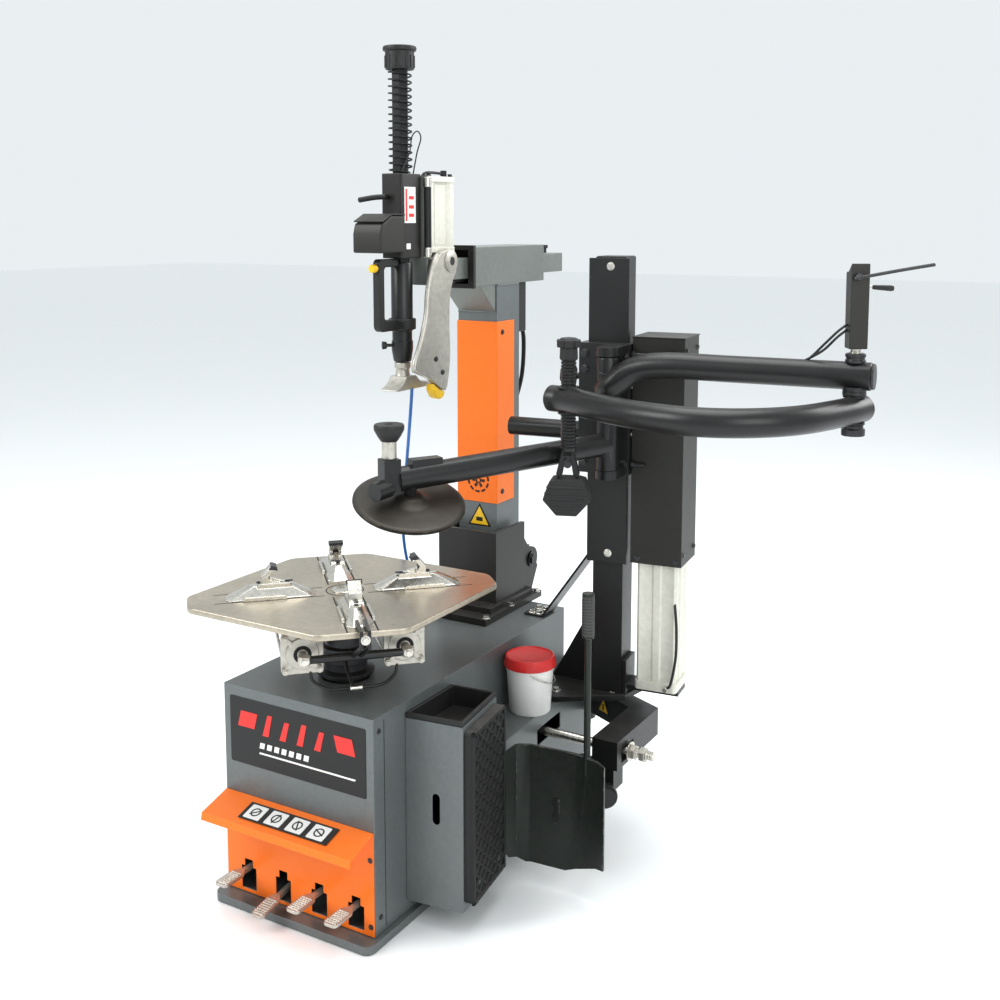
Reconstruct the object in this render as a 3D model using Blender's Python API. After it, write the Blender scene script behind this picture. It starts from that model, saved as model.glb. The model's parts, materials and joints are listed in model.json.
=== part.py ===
"""Tilt-back tyre changer with a turntable, a bead breaker and a right-hand assist tower.

Every object in the scene is one piece of the machine, at real size in metres, +Z up.
The origin is the turntable's axis at floor level; -Y is the pedal side and +X the bead breaker side.
"""

import math

import bmesh
import bpy
from mathutils import Matrix, Vector

GAP = 0.0003  # clearance between pieces that rest on each other

# Cabinet
CAB_X = 0.215  # half width
CAB_FRONT, CAB_BACK = -0.185, 0.708
CAB_TOP = 0.522
BASE_T = 0.020
SHEET = 0.003

# Turntable
PLATE_TOP, PLATE_T = 0.728, 0.014
PLATE_HALF = 0.285
CLAMP_Z = 0.636  # axis height of the clamping cylinders
CLAMP_SIDE = 0.115  # their distance from the turntable axis
JAW_ANGLES = {"jaw_right": 45, "jaw_back": 135, "jaw_left": 225, "jaw_front": 315}

# Tilting column and tool head
COLUMN_HALF = 0.061
COLUMN_FRONT = 0.600
COLUMN_BACK = COLUMN_FRONT + 2 * COLUMN_HALF
COLUMN_TOP = 1.4197
TILT_AXIS = Vector((0, 0.763, 0.627))
ARM_Z0, ARM_Z1 = 1.420, 1.522
ARM_FRONT, ARM_BACK = 0.476, 0.865
HEAD_Y = 0.245  # the tool bar's axis at rest

# Side box, shelf and bead breaker
BOX_FRONT_RIGHT = Vector((0.358, -0.049, 0))
BOX_BACK_RIGHT = Vector((0.331, 0.142, 0))
BOX_Z0, BOX_Z1 = 0.050, 0.485
SHELF_Z0, SHELF_TOP = 0.140, 0.355
BREAKER_AXIS = Vector((0.285, 0.700, 0))
ROD_Y, ROD_Z = 0.420, 0.292
BLADE_PIN = Vector((0.452, 0.362, 0))

# Assist tower
TOWER = Matrix.Translation((0.412, 0.600, 0)) @ Matrix.Rotation(math.radians(6.6), 4, "Z")
POST_HALF = 0.040
POST_TOP = 1.500
RAIL_Z0, RAIL_Z1 = 0.720, 1.498
CARRIAGE_Z0, CARRIAGE_Z1 = 0.958, 1.288
SWING = TOWER @ Vector((0.030, -0.145, 0))  # vertical hinge of both swing arms
ELBOW = Vector((1.045, 0.500, 0))
TUBE_R = 0.0315
PRESS_AXIS = Vector((0.430, 0.307, 0))
DISC_END = Vector((0.174, -0.029, 1.017))
DISC_CENTRE = Vector((0.185, 0.002, 0.960))
DISC_NORMAL = Vector((0.26, -0.20, 0.945)).normalized()

FINISHES = {
    "cabinet_grey": ((0.19, 0.22, 0.21), 0.1, 0.45),
    "safety_orange": ((1.0, 0.20, 0.015), 0.0, 0.45),
    "powder_black": ((0.018, 0.018, 0.018), 0.2, 0.5),
    "black_plastic": ((0.025, 0.025, 0.025), 0.0, 0.6),
    "rubber": ((0.015, 0.015, 0.015), 0.0, 0.8),
    "cast_aluminium": ((0.62, 0.61, 0.56), 0.9, 0.45),
    "bright_steel": ((0.58, 0.54, 0.47), 1.0, 0.3),
    "dark_steel": ((0.12, 0.12, 0.12), 1.0, 0.4),
    "paste_white": ((0.85, 0.84, 0.80), 0.0, 0.4),
    "signal_yellow": ((0.95, 0.65, 0.02), 0.0, 0.4),
    "hose_blue": ((0.03, 0.16, 0.42), 0.0, 0.4),
}


def clear_scene():
    for obj in list(bpy.data.objects):
        bpy.data.objects.remove(obj, do_unlink=True)


def finish(name):
    material = bpy.data.materials.get(name)
    if material is None:
        colour, metallic, roughness = FINISHES[name]
        material = bpy.data.materials.new(name)
        material.use_nodes = True
        shader = material.node_tree.nodes["Principled BSDF"]
        shader.inputs["Base Color"].default_value = (*colour, 1)
        shader.inputs["Metallic"].default_value = metallic
        shader.inputs["Roughness"].default_value = roughness
    return material


# ---- shapes: each returns a bmesh holding one closed body -------------------------------------


def box(lo, hi):
    shape = bmesh.new()
    bmesh.ops.create_cube(shape, size=1)
    lo, hi = Vector(lo), Vector(hi)
    bmesh.ops.scale(shape, vec=hi - lo, verts=shape.verts)
    bmesh.ops.translate(shape, vec=(lo + hi) / 2, verts=shape.verts)
    return shape


def prism(outline, axis, lo, hi):
    """An outline extruded along an axis: (x, y) points along z, (x, z) along y, (y, z) along x."""
    order = {"z": lambda u, v, w: (u, v, w), "y": lambda u, v, w: (u, w, v), "x": lambda u, v, w: (w, u, v)}[axis]
    shape = bmesh.new()
    ends = [[shape.verts.new(order(u, v, w)) for u, v in outline] for w in (lo, hi)]
    count = len(outline)
    for i in range(count):
        j = (i + 1) % count
        shape.faces.new((ends[0][i], ends[0][j], ends[1][j], ends[1][i]))
    shape.faces.new(reversed(ends[0]))
    shape.faces.new(ends[1])
    bmesh.ops.recalc_face_normals(shape, faces=shape.faces)
    return shape


def rod(start, end, radius, sides=16, end_radius=None):
    start, end = Vector(start), Vector(end)
    along = end - start
    shape = bmesh.new()
    bmesh.ops.create_cone(
        shape,
        cap_ends=True,
        segments=sides,
        radius1=radius,
        radius2=radius if end_radius is None else end_radius,
        depth=along.length,
    )
    turn = Vector((0, 0, 1)).rotation_difference(along).to_matrix().to_4x4()
    bmesh.ops.transform(shape, matrix=Matrix.Translation((start + end) / 2) @ turn, verts=shape.verts)
    return shape


def turned(profile, sides, place):
    """(radius, height) points, from the bottom of the axis to its top, turned about the axis."""
    shape = bmesh.new()
    rings = []
    for radius, height in profile:
        if radius == 0:
            rings.append([shape.verts.new((0, 0, height))])
            continue
        turns = [2 * math.pi * k / sides for k in range(sides)]
        rings.append([shape.verts.new((radius * math.cos(a), radius * math.sin(a), height)) for a in turns])
    for low, high in zip(rings, rings[1:]):
        for k in range(sides):
            m = (k + 1) % sides
            corners = [low[k % len(low)], low[m % len(low)], high[m % len(high)], high[k % len(high)]]
            shape.faces.new(list(dict.fromkeys(corners)))
    bmesh.ops.recalc_face_normals(shape, faces=shape.faces)
    bmesh.ops.transform(shape, matrix=place, verts=shape.verts)
    return shape


def smooth_route(points, steps):
    """Points on a Catmull-Rom curve through the given ones."""
    points = [Vector(p) for p in points]
    ends = [2 * points[0] - points[1]] + points + [2 * points[-1] - points[-2]]
    route = []
    for a, b, c, d in zip(ends, ends[1:], ends[2:], ends[3:]):
        for k in range(steps):
            t = k / steps
            route.append(
                0.5 * (2 * b + (c - a) * t + (2 * a - 5 * b + 4 * c - d) * t**2 + (3 * b - a - 3 * c + d) * t**3)
            )
    return route + [points[-1]]


def bent_tube(points, radius, steps=4, sides=14):
    route = smooth_route(points, steps)
    shape = bmesh.new()
    rings = []
    side = None
    for i, centre in enumerate(route):
        along = (route[min(i + 1, len(route) - 1)] - route[max(i - 1, 0)]).normalized()
        if side is None:
            side = along.cross(Vector((0, 0, 1))).normalized()
        side = (side - along * side.dot(along)).normalized()
        up = along.cross(side)
        turns = [2 * math.pi * k / sides for k in range(sides)]
        rings.append([shape.verts.new(centre + radius * (side * math.cos(a) + up * math.sin(a))) for a in turns])
    for low, high in zip(rings, rings[1:]):
        for k in range(sides):
            m = (k + 1) % sides
            shape.faces.new((low[k], low[m], high[m], high[k]))
    shape.faces.new(reversed(rings[0]))
    shape.faces.new(rings[-1])
    bmesh.ops.recalc_face_normals(shape, faces=shape.faces)
    return shape


def placed(shape, matrix):
    bmesh.ops.transform(shape, matrix=matrix, verts=shape.verts)
    return shape


def arc(centre, radius, start, end, count):
    """Points on an arc, angles in degrees."""
    turns = [math.radians(start + (end - start) * k / (count - 1)) for k in range(count)]
    return [(centre[0] + radius * math.cos(a), centre[1] + radius * math.sin(a)) for a in turns]


# ---- pieces ----------------------------------------------------------------------------------


def mesh_object(name, shape, pivot):
    bmesh.ops.translate(shape, vec=-Vector(pivot), verts=shape.verts)
    mesh = bpy.data.meshes.new(name)
    shape.to_mesh(mesh)
    shape.free()
    obj = bpy.data.objects.new(name, mesh)
    obj.location = pivot
    bpy.context.scene.collection.objects.link(obj)
    return obj


def helper(name, shape):
    obj = mesh_object(name, shape, (0, 0, 0))
    obj.hide_render = True
    obj.display_type = "WIRE"
    return obj


def piece(name, material, shapes, cuts=(), pivot=(0, 0, 0)):
    """One named solid: its shapes joined, its cuts taken away, and its origin on its joint's axis."""
    obj = mesh_object(name, shapes[0], pivot)
    obj.data.materials.append(finish(material))
    obj.data.shade_smooth()
    obj.data.set_sharp_from_angle(angle=math.radians(35))
    for operation, others in (("UNION", shapes[1:]), ("DIFFERENCE", cuts)):
        for k, shape in enumerate(others):
            modifier = obj.modifiers.new(f"{operation.lower()}_{k}", "BOOLEAN")
            modifier.operation = operation
            modifier.object = helper(f"{name}.{operation.lower()}_{k}", shape)
    return obj


# ---- cabinet ---------------------------------------------------------------------------------

PEDALS = {"pedal_tilt": -0.149, "pedal_clamp": -0.045, "pedal_breaker": 0.060, "pedal_rotate": 0.164}
PEDAL_AXIS_Y, PEDAL_AXIS_Z = -0.020, 0.084
PEDAL_TIP_Y = -0.285
LATCHED_TURN = math.radians(10)


def build_cabinet():
    inner = CAB_X - SHEET
    outer = box((-CAB_X, CAB_FRONT, BASE_T + GAP), (CAB_X, CAB_BACK, CAB_TOP))
    hollow = box((-inner, CAB_FRONT + SHEET, 0), (inner, CAB_BACK - SHEET, CAB_TOP - SHEET))
    window = box((-0.190, CAB_FRONT - 0.01, 0.030), (0.190, CAB_FRONT + 0.01, 0.190))
    shaft_hole = rod((0, 0, CAB_TOP - 0.02), (0, 0, CAB_TOP + 0.02), 0.060, 24)
    rod_slot = box((CAB_X - 0.02, 0.370, ROD_Z - 0.020), (CAB_X + 0.02, 0.505, ROD_Z + 0.020))
    piece("cabinet_shell", "cabinet_grey", [outer], [hollow, window, shaft_hole, rod_slot])

    toe = 0.228
    corner = 0.022
    outline = [(toe, CAB_BACK + 0.005), (-toe, CAB_BACK + 0.005)]
    outline += arc((-toe + corner, -0.226 + corner), corner, 180, 270, 5)
    outline += arc((toe - corner, -0.226 + corner), corner, 270, 360, 5)
    axle_ends = [box((s * 0.197 - 0.004, -0.035, 0.010), (s * 0.197 + 0.004, 0.0, 0.096)) for s in (-1, 1)]
    axle = rod((-0.197, PEDAL_AXIS_Y, PEDAL_AXIS_Z), (0.197, PEDAL_AXIS_Y, PEDAL_AXIS_Z), 0.006, 12)
    piece("base_frame", "cabinet_grey", [prism(outline, "z", 0, BASE_T), *axle_ends, axle])


def build_pedals():
    back, front = CAB_FRONT - 0.0007, CAB_FRONT - 0.0032
    profile = [(back, 0.022), (back, 0.2640), (-0.2700, 0.2400), (-0.2735, 0.2230)]
    profile += [(-0.2710, 0.2222), (-0.2678, 0.2376), (front, 0.2607), (front, 0.022)]
    slots = []
    for x in PEDALS.values():
        slots.append(box((x - 0.022, CAB_FRONT - 0.02, 0.030), (x + 0.022, CAB_FRONT + 0.01, 0.086)))
        slots.append(box((x - 0.012, CAB_FRONT - 0.02, 0.080), (x + 0.012, CAB_FRONT + 0.01, 0.104)))
    piece("pedal_cover", "safety_orange", [prism(profile, "x", -0.214, 0.214)], slots)

    pivot = Vector((0, PEDAL_AXIS_Y, PEDAL_AXIS_Z))
    for name, x in PEDALS.items():
        pressed = LATCHED_TURN if name == "pedal_clamp" else 0
        turn = Matrix.Translation(pivot) @ Matrix.Rotation(pressed, 4, "X") @ Matrix.Translation(-pivot)
        lever = box((x - 0.006, -0.235, 0.079), (x + 0.006, PEDAL_AXIS_Y, 0.089))
        tread = [(x - 0.018, -0.226), (x - 0.012, -0.215), (x + 0.012, -0.215), (x + 0.018, -0.226)]
        tread += [(x + 0.018, PEDAL_TIP_Y + 0.010), (x + 0.010, PEDAL_TIP_Y), (x - 0.010, PEDAL_TIP_Y)]
        tread += [(x - 0.018, PEDAL_TIP_Y + 0.010)]
        boss = rod((x - 0.010, PEDAL_AXIS_Y, PEDAL_AXIS_Z), (x + 0.010, PEDAL_AXIS_Y, PEDAL_AXIS_Z), 0.013, 12)
        bore = rod((x - 0.02, PEDAL_AXIS_Y, PEDAL_AXIS_Z), (x + 0.02, PEDAL_AXIS_Y, PEDAL_AXIS_Z), 0.0068, 12)
        shapes = [placed(s, turn) for s in (lever, prism(tread, "z", 0.083, 0.092), boss)]
        piece(name, "cast_aluminium", shapes, [bore], (x, PEDAL_AXIS_Y, PEDAL_AXIS_Z))


def build_drive():
    case = box((-0.090, -0.100, 0.330), (0.090, 0.100, 0.440))
    collar = rod((0, 0, 0.435), (0, 0, CAB_TOP - SHEET - GAP), 0.082, 24)
    bore = rod((0, 0, 0.436), (0, 0, 0.530), 0.058, 24)
    piece("gearbox", "dark_steel", [case, collar], [bore])
    can = rod((0.070, 0.190, 0.230), (0.070, 0.190, 0.440), 0.058, 20)
    foot = box((0.020, 0.100 + GAP, 0.350), (0.120, 0.170, 0.400))
    piece("drive_motor", "dark_steel", [can, foot])


# ---- turntable -------------------------------------------------------------------------------


def build_turntable():
    half, wide, narrow = PLATE_HALF, 0.140, 0.060
    outline = [(-half, -half + narrow), (-half + narrow, -half), (half - wide, -half), (half, -half + wide)]
    outline += [(-u, -v) for u, v in outline]
    low = PLATE_TOP - PLATE_T
    piece("table_plate", "bright_steel", [prism(outline, "z", low, PLATE_TOP)])
    shaft = rod((0, 0, 0.4405), (0, 0, low - GAP), 0.048, 24)
    flange = rod((0, 0, low - 0.030), (0, 0, low - GAP), 0.075, 24)
    ring = rod((0, 0, CAB_TOP + 0.004), (0, 0, CAB_TOP + 0.020), 0.068, 24)
    piece("table_hub", "dark_steel", [shaft, flange, ring])

    front = Matrix.Rotation(math.radians(-45), 4, "Z")  # +X of this frame runs towards the front jaw
    for name, side in (("clamp_cylinder_left", -1), ("clamp_cylinder_right", 1)):
        y = side * CLAMP_SIDE
        barrel = rod((-0.150, y, CLAMP_Z), (0.150, y, CLAMP_Z), 0.038, 20)
        plates = [box((x, y - 0.048, CLAMP_Z - 0.048), (x + 0.020, y + 0.048, CLAMP_Z + 0.046)) for x in (-0.165, 0.135)]
        bore = rod((0.020, y, CLAMP_Z), (0.2, y, CLAMP_Z), 0.012, 12)
        hanger = box((-0.020, y - 0.020, CLAMP_Z + 0.030), (0.020, y + 0.020, low - GAP))
        shapes = [placed(s, front) for s in (barrel, *plates, hanger)]
        piece(name, "cast_aluminium", shapes, [placed(bore, front)])


def jaw_shapes():
    """One jaw and its slide cover, along +X from the turntable's axis."""
    z = PLATE_TOP + GAP
    gable = prism([(0.068, z), (0.275, z), (0.218, z + 0.028), (0.125, z + 0.028)], "y", -0.030, 0.030)
    for side in (-1, 1):
        lean = Vector((0, side * 0.028, 0.018)).normalized()
        edge = Vector((0.170, side * 0.030, z + 0.001))
        cut = bmesh.ops.bisect_plane(
            gable,
            geom=gable.verts[:] + gable.edges[:] + gable.faces[:],
            plane_co=edge,
            plane_no=lean,
            clear_outer=True,
        )
        rim = [item for item in cut["geom_cut"] if isinstance(item, bmesh.types.BMEdge)]
        bmesh.ops.contextual_create(gable, geom=rim)
    bmesh.ops.recalc_face_normals(gable, faces=gable.faces)
    claw = [(0.130, z + 0.020), (0.192, z + 0.020), (0.192, z + 0.050), (0.170, z + 0.0745), (0.158, z + 0.070)]
    claw += [(0.177, z + 0.047), (0.174, z + 0.040), (0.130, z + 0.030)]
    return [gable, prism(claw, "y", -0.014, 0.014)]


def yoke_shapes():
    """The cross bar under the plate that both piston rods push, and its link up to the front jaw."""
    bar = box((0.183, -0.130, CLAMP_Z - 0.010), (0.203, 0.130, CLAMP_Z + 0.010))
    rods = [rod((0.060, s * CLAMP_SIDE, CLAMP_Z), (0.190, s * CLAMP_SIDE, CLAMP_Z), 0.010, 12) for s in (-1, 1)]
    link = [(0.185, CLAMP_Z), (0.203, CLAMP_Z), (0.340, 0.700), (0.340, 0.742), (0.262, 0.742), (0.262, 0.733)]
    link += [(0.326, 0.733), (0.326, 0.706)]
    return [bar, *rods, prism(link, "y", -0.012, 0.012)]


def build_jaws():
    for name, angle in JAW_ANGLES.items():
        turn = Matrix.Rotation(math.radians(angle), 4, "Z")
        shapes = jaw_shapes()
        if name == "jaw_front":
            shapes += yoke_shapes()
        piece(name, "bright_steel", [placed(s, turn) for s in shapes])


# ---- column and tool head --------------------------------------------------------------------


def build_column():
    flange = box((-0.112, 0.455, CAB_TOP + GAP), (0.112, 0.765, 0.540))
    step = box((-0.100, 0.500, 0.535), (0.100, 0.730, 0.556))
    front_wall = box((-0.092, 0.543, 0.535), (0.092, 0.551, 0.752))
    side_walls = [box((min(s * 0.080, s * 0.092), 0.543, 0.535), (max(s * 0.080, s * 0.092), 0.700, 0.752)) for s in (-1, 1)]
    ear = [(0.695, 0.530), (0.760, 0.530), (0.800, 0.600)]
    ear += arc((0.763, 0.627), 0.036, -30, 110, 7)
    ear += [(0.720, 0.700), (0.695, 0.720)]
    ears = [prism(ear, "x", min(s * 0.067, s * 0.0795), max(s * 0.067, s * 0.0795)) for s in (-1, 1)]
    pin = rod((-0.0825, TILT_AXIS.y, TILT_AXIS.z), (0.0825, TILT_AXIS.y, TILT_AXIS.z), 0.012, 16)
    piece("column_base", "powder_black", [flange, step, front_wall, *side_walls, *ears, pin])

    tube = box((-COLUMN_HALF, COLUMN_FRONT, 0.575), (COLUMN_HALF, COLUMN_BACK, COLUMN_TOP))
    foot = box((-0.060, COLUMN_BACK - 0.02, 0.600), (0.060, 0.787, 0.662))
    bore = rod((-0.1, TILT_AXIS.y, TILT_AXIS.z), (0.1, TILT_AXIS.y, TILT_AXIS.z), 0.0128, 16)
    hollow = box((-0.055, COLUMN_FRONT + 0.006, 0.56), (0.055, COLUMN_BACK - 0.006, COLUMN_TOP - 0.006))
    piece("column_tube", "cabinet_grey", [tube, foot], [bore, hollow], TILT_AXIS)

    inner, outer = COLUMN_HALF + GAP, COLUMN_HALF + 0.003
    face_in, face_out = COLUMN_FRONT - GAP, COLUMN_FRONT - 0.003
    wrap = [(-inner, 0.690), (-inner, face_in), (inner, face_in), (inner, 0.690)]
    wrap += [(outer, 0.690), (outer, face_out), (-outer, face_out), (-outer, 0.690)]
    piece("column_cover", "safety_orange", [prism(wrap, "z", 0.819, 1.320)], (), TILT_AXIS)

    case = box((-0.061, ARM_FRONT, ARM_Z0), (0.061, ARM_BACK, ARM_Z1))
    gusset = prism([(0.510, 1.425), (0.5995, 1.425), (0.5995, 1.345)], "x", -0.058, 0.058)
    channel = box((-0.055, 0.4, ARM_Z0 + 0.006), (0.055, 0.9, ARM_Z1 - 0.006))
    piece("arm_box", "cabinet_grey", [case, gusset], [channel], TILT_AXIS)
    rear = box((-0.040, COLUMN_BACK + GAP, 1.280), (0.045, 0.790, 1.4195))
    piece("valve_box", "powder_black", [rear], (), TILT_AXIS)


def build_head():
    at_rest = (0, HEAD_Y, 1.467)
    bar = box((-0.045, 0.300, 1.4405), (0.045, 1.010, 1.4950))
    plate = box((-0.045, 0.2905, 1.432), (0.045, 0.3015, 1.700))
    piece("horizontal_slide", "bright_steel", [bar, plate], (), at_rest)

    body = box((-0.030, 0.205, 1.500), (0.030, 0.290, 1.704))
    bore = rod((0, HEAD_Y, 1.4), (0, HEAD_Y, 1.8), 0.0225, 16)
    piece("head_casting", "powder_black", [body], [bore], at_rest)
    block = box((-0.046, 0.302, 1.512), (0.046, 0.420, 1.700))
    piece("lock_cylinder", "cast_aluminium", [block], (), at_rest)
    hood = [(0.105, 1.515), (0.2045, 1.515), (0.2045, 1.603), (0.135, 1.603), (0.105, 1.580)]
    piece("control_box", "powder_black", [prism(hood, "x", -0.042, 0.040)], (), at_rest)
    stem = rod((-0.012, 0.2045, 1.648), (-0.012, 0.186, 1.648), 0.005, 10)
    grip = rod((-0.008, 0.190, 1.648), (-0.058, 0.154, 1.640), 0.0065, 10)
    piece("lock_lever", "black_plastic", [stem, grip], (), (-0.012, 0.2045, 1.648))


def build_tool_bar():
    axis = Vector((0, HEAD_Y, 0))
    rest = axis + Vector((0, 0, 1.467))
    shaft = rod(axis + Vector((0, 0, 1.300)), axis + Vector((0, 0, 1.960)), 0.0215, 6)
    cap = turned([(0, 1.951), (0.036, 1.951), (0.036, 1.995), (0.041, 1.999), (0.041, 2.007), (0, 2.007)], 20, Matrix.Translation(axis))
    piece("tool_bar", "dark_steel", [shaft, cap], (), rest)

    coil = rod(axis + Vector((0, 0, 1.7045)), axis + Vector((0, 0, 1.9505)), 0.030, 20)
    hollow = rod(axis + Vector((0, 0, 1.6)), axis + Vector((0, 0, 2.1)), 0.0235, 20)
    piece("return_spring", "dark_steel", [coil], [hollow], rest)

    sleeve = turned([(0, 1.244), (0.021, 1.244), (0.027, 1.275), (0.027, 1.490), (0, 1.490)], 20, Matrix.Translation(axis))
    bar_hole = rod(axis + Vector((0, 0, 1.290)), axis + Vector((0, 0, 1.6)), 0.0222, 16)
    piece("tool_sleeve", "powder_black", [sleeve], [bar_hole], rest)

    loop = [(0.2175, 1.352), (0.150, 1.352), (0.139, 1.341), (0.139, 1.336), (0.150, 1.325), (0.2175, 1.325)]
    ring = rod(axis + Vector((0, 0, 1.325)), axis + Vector((0, 0, 1.352)), 0.034, 20)
    ring_hole = rod(axis + Vector((0, 0, 1.3)), axis + Vector((0, 0, 1.4)), 0.0273, 20)
    upright = box((-0.010, 0.139, 1.330), (0.010, 0.160, 1.4994))
    top_leg = box((-0.010, 0.139, 1.480), (0.010, 0.2172, 1.4994))
    button_hole = rod((0, 0.130, 1.478), (0, 0.149, 1.478), 0.0080, 14)
    handle = [ring, prism(loop, "x", -0.010, 0.010), upright, top_leg]
    piece("grip_handle", "black_plastic", handle, [ring_hole, button_hole], rest)
    button = [rod((0, 0.144, 1.478), (0, 0.121, 1.478), 0.0074, 14), rod((0, 0.133, 1.478), (0, 0.120, 1.478), 0.010, 14)]
    piece("grip_button", "signal_yellow", button, (), (0, 0.139, 1.478))

    foot = [(0.190, 1.180), (0.350, 1.180), (0.352, 1.190), (0.290, 1.200), (0.275, 1.2435), (0.215, 1.2435), (0.205, 1.200)]
    piece("mount_head", "cast_aluminium", [prism(foot, "x", -0.030, 0.030)], (), rest)

    curve = [(0.330, 1.507), (0.292, 1.478), (0.266, 1.400), (0.240, 1.310), (0.216, 1.252), (0.216, 1.228)]
    curve += [(0.300, 1.206), (0.345, 1.200), (0.357, 1.250), (0.352, 1.330), (0.372, 1.420)]
    curve += arc((0.360, 1.490), 0.032, -20, 110, 7)
    arm = prism(curve, "x", 0.0485, 0.072)
    tip = prism([(0.290, 1.165), (0.325, 1.160), (0.350, 1.172), (0.345, 1.205), (0.300, 1.210)], "x", 0.0335, 0.060)
    piece("tool_arm", "cast_aluminium", [arm, tip], (), (0.060, 0.360, 1.490))


# ---- side box and bead breaker ---------------------------------------------------------------


def inset(outline, amount):
    """An outline moved inwards by the given amount, for one that runs anticlockwise."""
    moved = []
    for i, point in enumerate(outline):
        before = Vector(outline[i - 1])
        after = Vector(outline[(i + 1) % len(outline)])
        here = Vector(point)
        first, second = (here - before).normalized(), (after - here).normalized()
        left = [Vector((-d.y, d.x)) for d in (first, second)]
        shift = (left[0] + left[1]) / (1 + left[0].dot(left[1]))
        moved.append(tuple(here + amount * shift))
    return moved


def build_side_box():
    wall = CAB_X + 0.0006
    footprint = [(wall, -0.066), BOX_FRONT_RIGHT.xy[:], BOX_BACK_RIGHT.xy[:], (wall, 0.128)]
    hollow = prism(inset(footprint, SHEET), "z", BOX_Z0 + SHEET, BOX_Z1 + 0.02)
    hole = prism(arc((0.291, 0.310), 0.009, 0, 180, 7) + arc((0.291, 0.256), 0.009, 180, 360, 7), "y", -0.1, -0.03)
    piece("side_box", "cabinet_grey", [prism(footprint, "z", BOX_Z0, BOX_Z1)], [hollow, hole])

    rim = prism(inset(footprint, -0.0002), "z", BOX_Z1 + GAP, BOX_Z1 + 0.0125)
    basin = prism(inset(footprint, SHEET + 0.002), "z", BOX_Z1 - 0.040, BOX_Z1 + 0.010)
    inside = prism(inset(footprint, SHEET + 0.005), "z", BOX_Z1 - 0.037, BOX_Z1 + 0.03)
    piece("tool_tray", "black_plastic", [rim, basin], [inside])

    along = (BOX_BACK_RIGHT - BOX_FRONT_RIGHT).normalized()
    turn = math.atan2(along.y, along.x) - math.pi / 2
    face = Matrix.Translation(BOX_FRONT_RIGHT) @ Matrix.Rotation(turn, 4, "Z")
    z0, z1 = 0.070, 0.474
    outline = [(0.004, z0 + 0.012), (0.016, z0), (0.178, z0), (0.190, z0 + 0.020), (0.190, z1 - 0.020), (0.178, z1)]
    outline += [(0.016, z1), (0.004, z1 - 0.012)]
    piece("rubber_pad", "rubber", [placed(prism(outline, "x", GAP, 0.028), face)])

    beam = [(wall, 0.1455), (0.3305, 0.1455), (0.312, 0.440), (0.306, 0.660), (wall, 0.660)]
    cavity = prism([(0.2, 0.150), (0.326, 0.150), (0.308, 0.440), (0.302, 0.655), (0.2, 0.655)], "z", SHELF_Z0 + 0.004, SHELF_TOP - 0.004)
    slot = box((0.25, 0.370, ROD_Z - 0.020), (0.35, 0.505, ROD_Z + 0.020))
    piece("shelf_beam", "cabinet_grey", [prism(beam, "z", SHELF_Z0, SHELF_TOP)], [cavity, slot])

    tub = [(0, 0), (0.052, 0), (0.060, 0.118), (0.066, 0.118), (0.066, 0.140), (0.062, 0.146), (0, 0.146)]
    piece("paste_bucket", "paste_white", [turned(tub, 24, Matrix.Translation((0.2835, 0.389, SHELF_TOP + GAP)))])


NUTS = ((0.549, 0.004, 0.024, 16), (0.552, 0.014, 0.019, 6), (0.578, 0.014, 0.019, 6))


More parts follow.
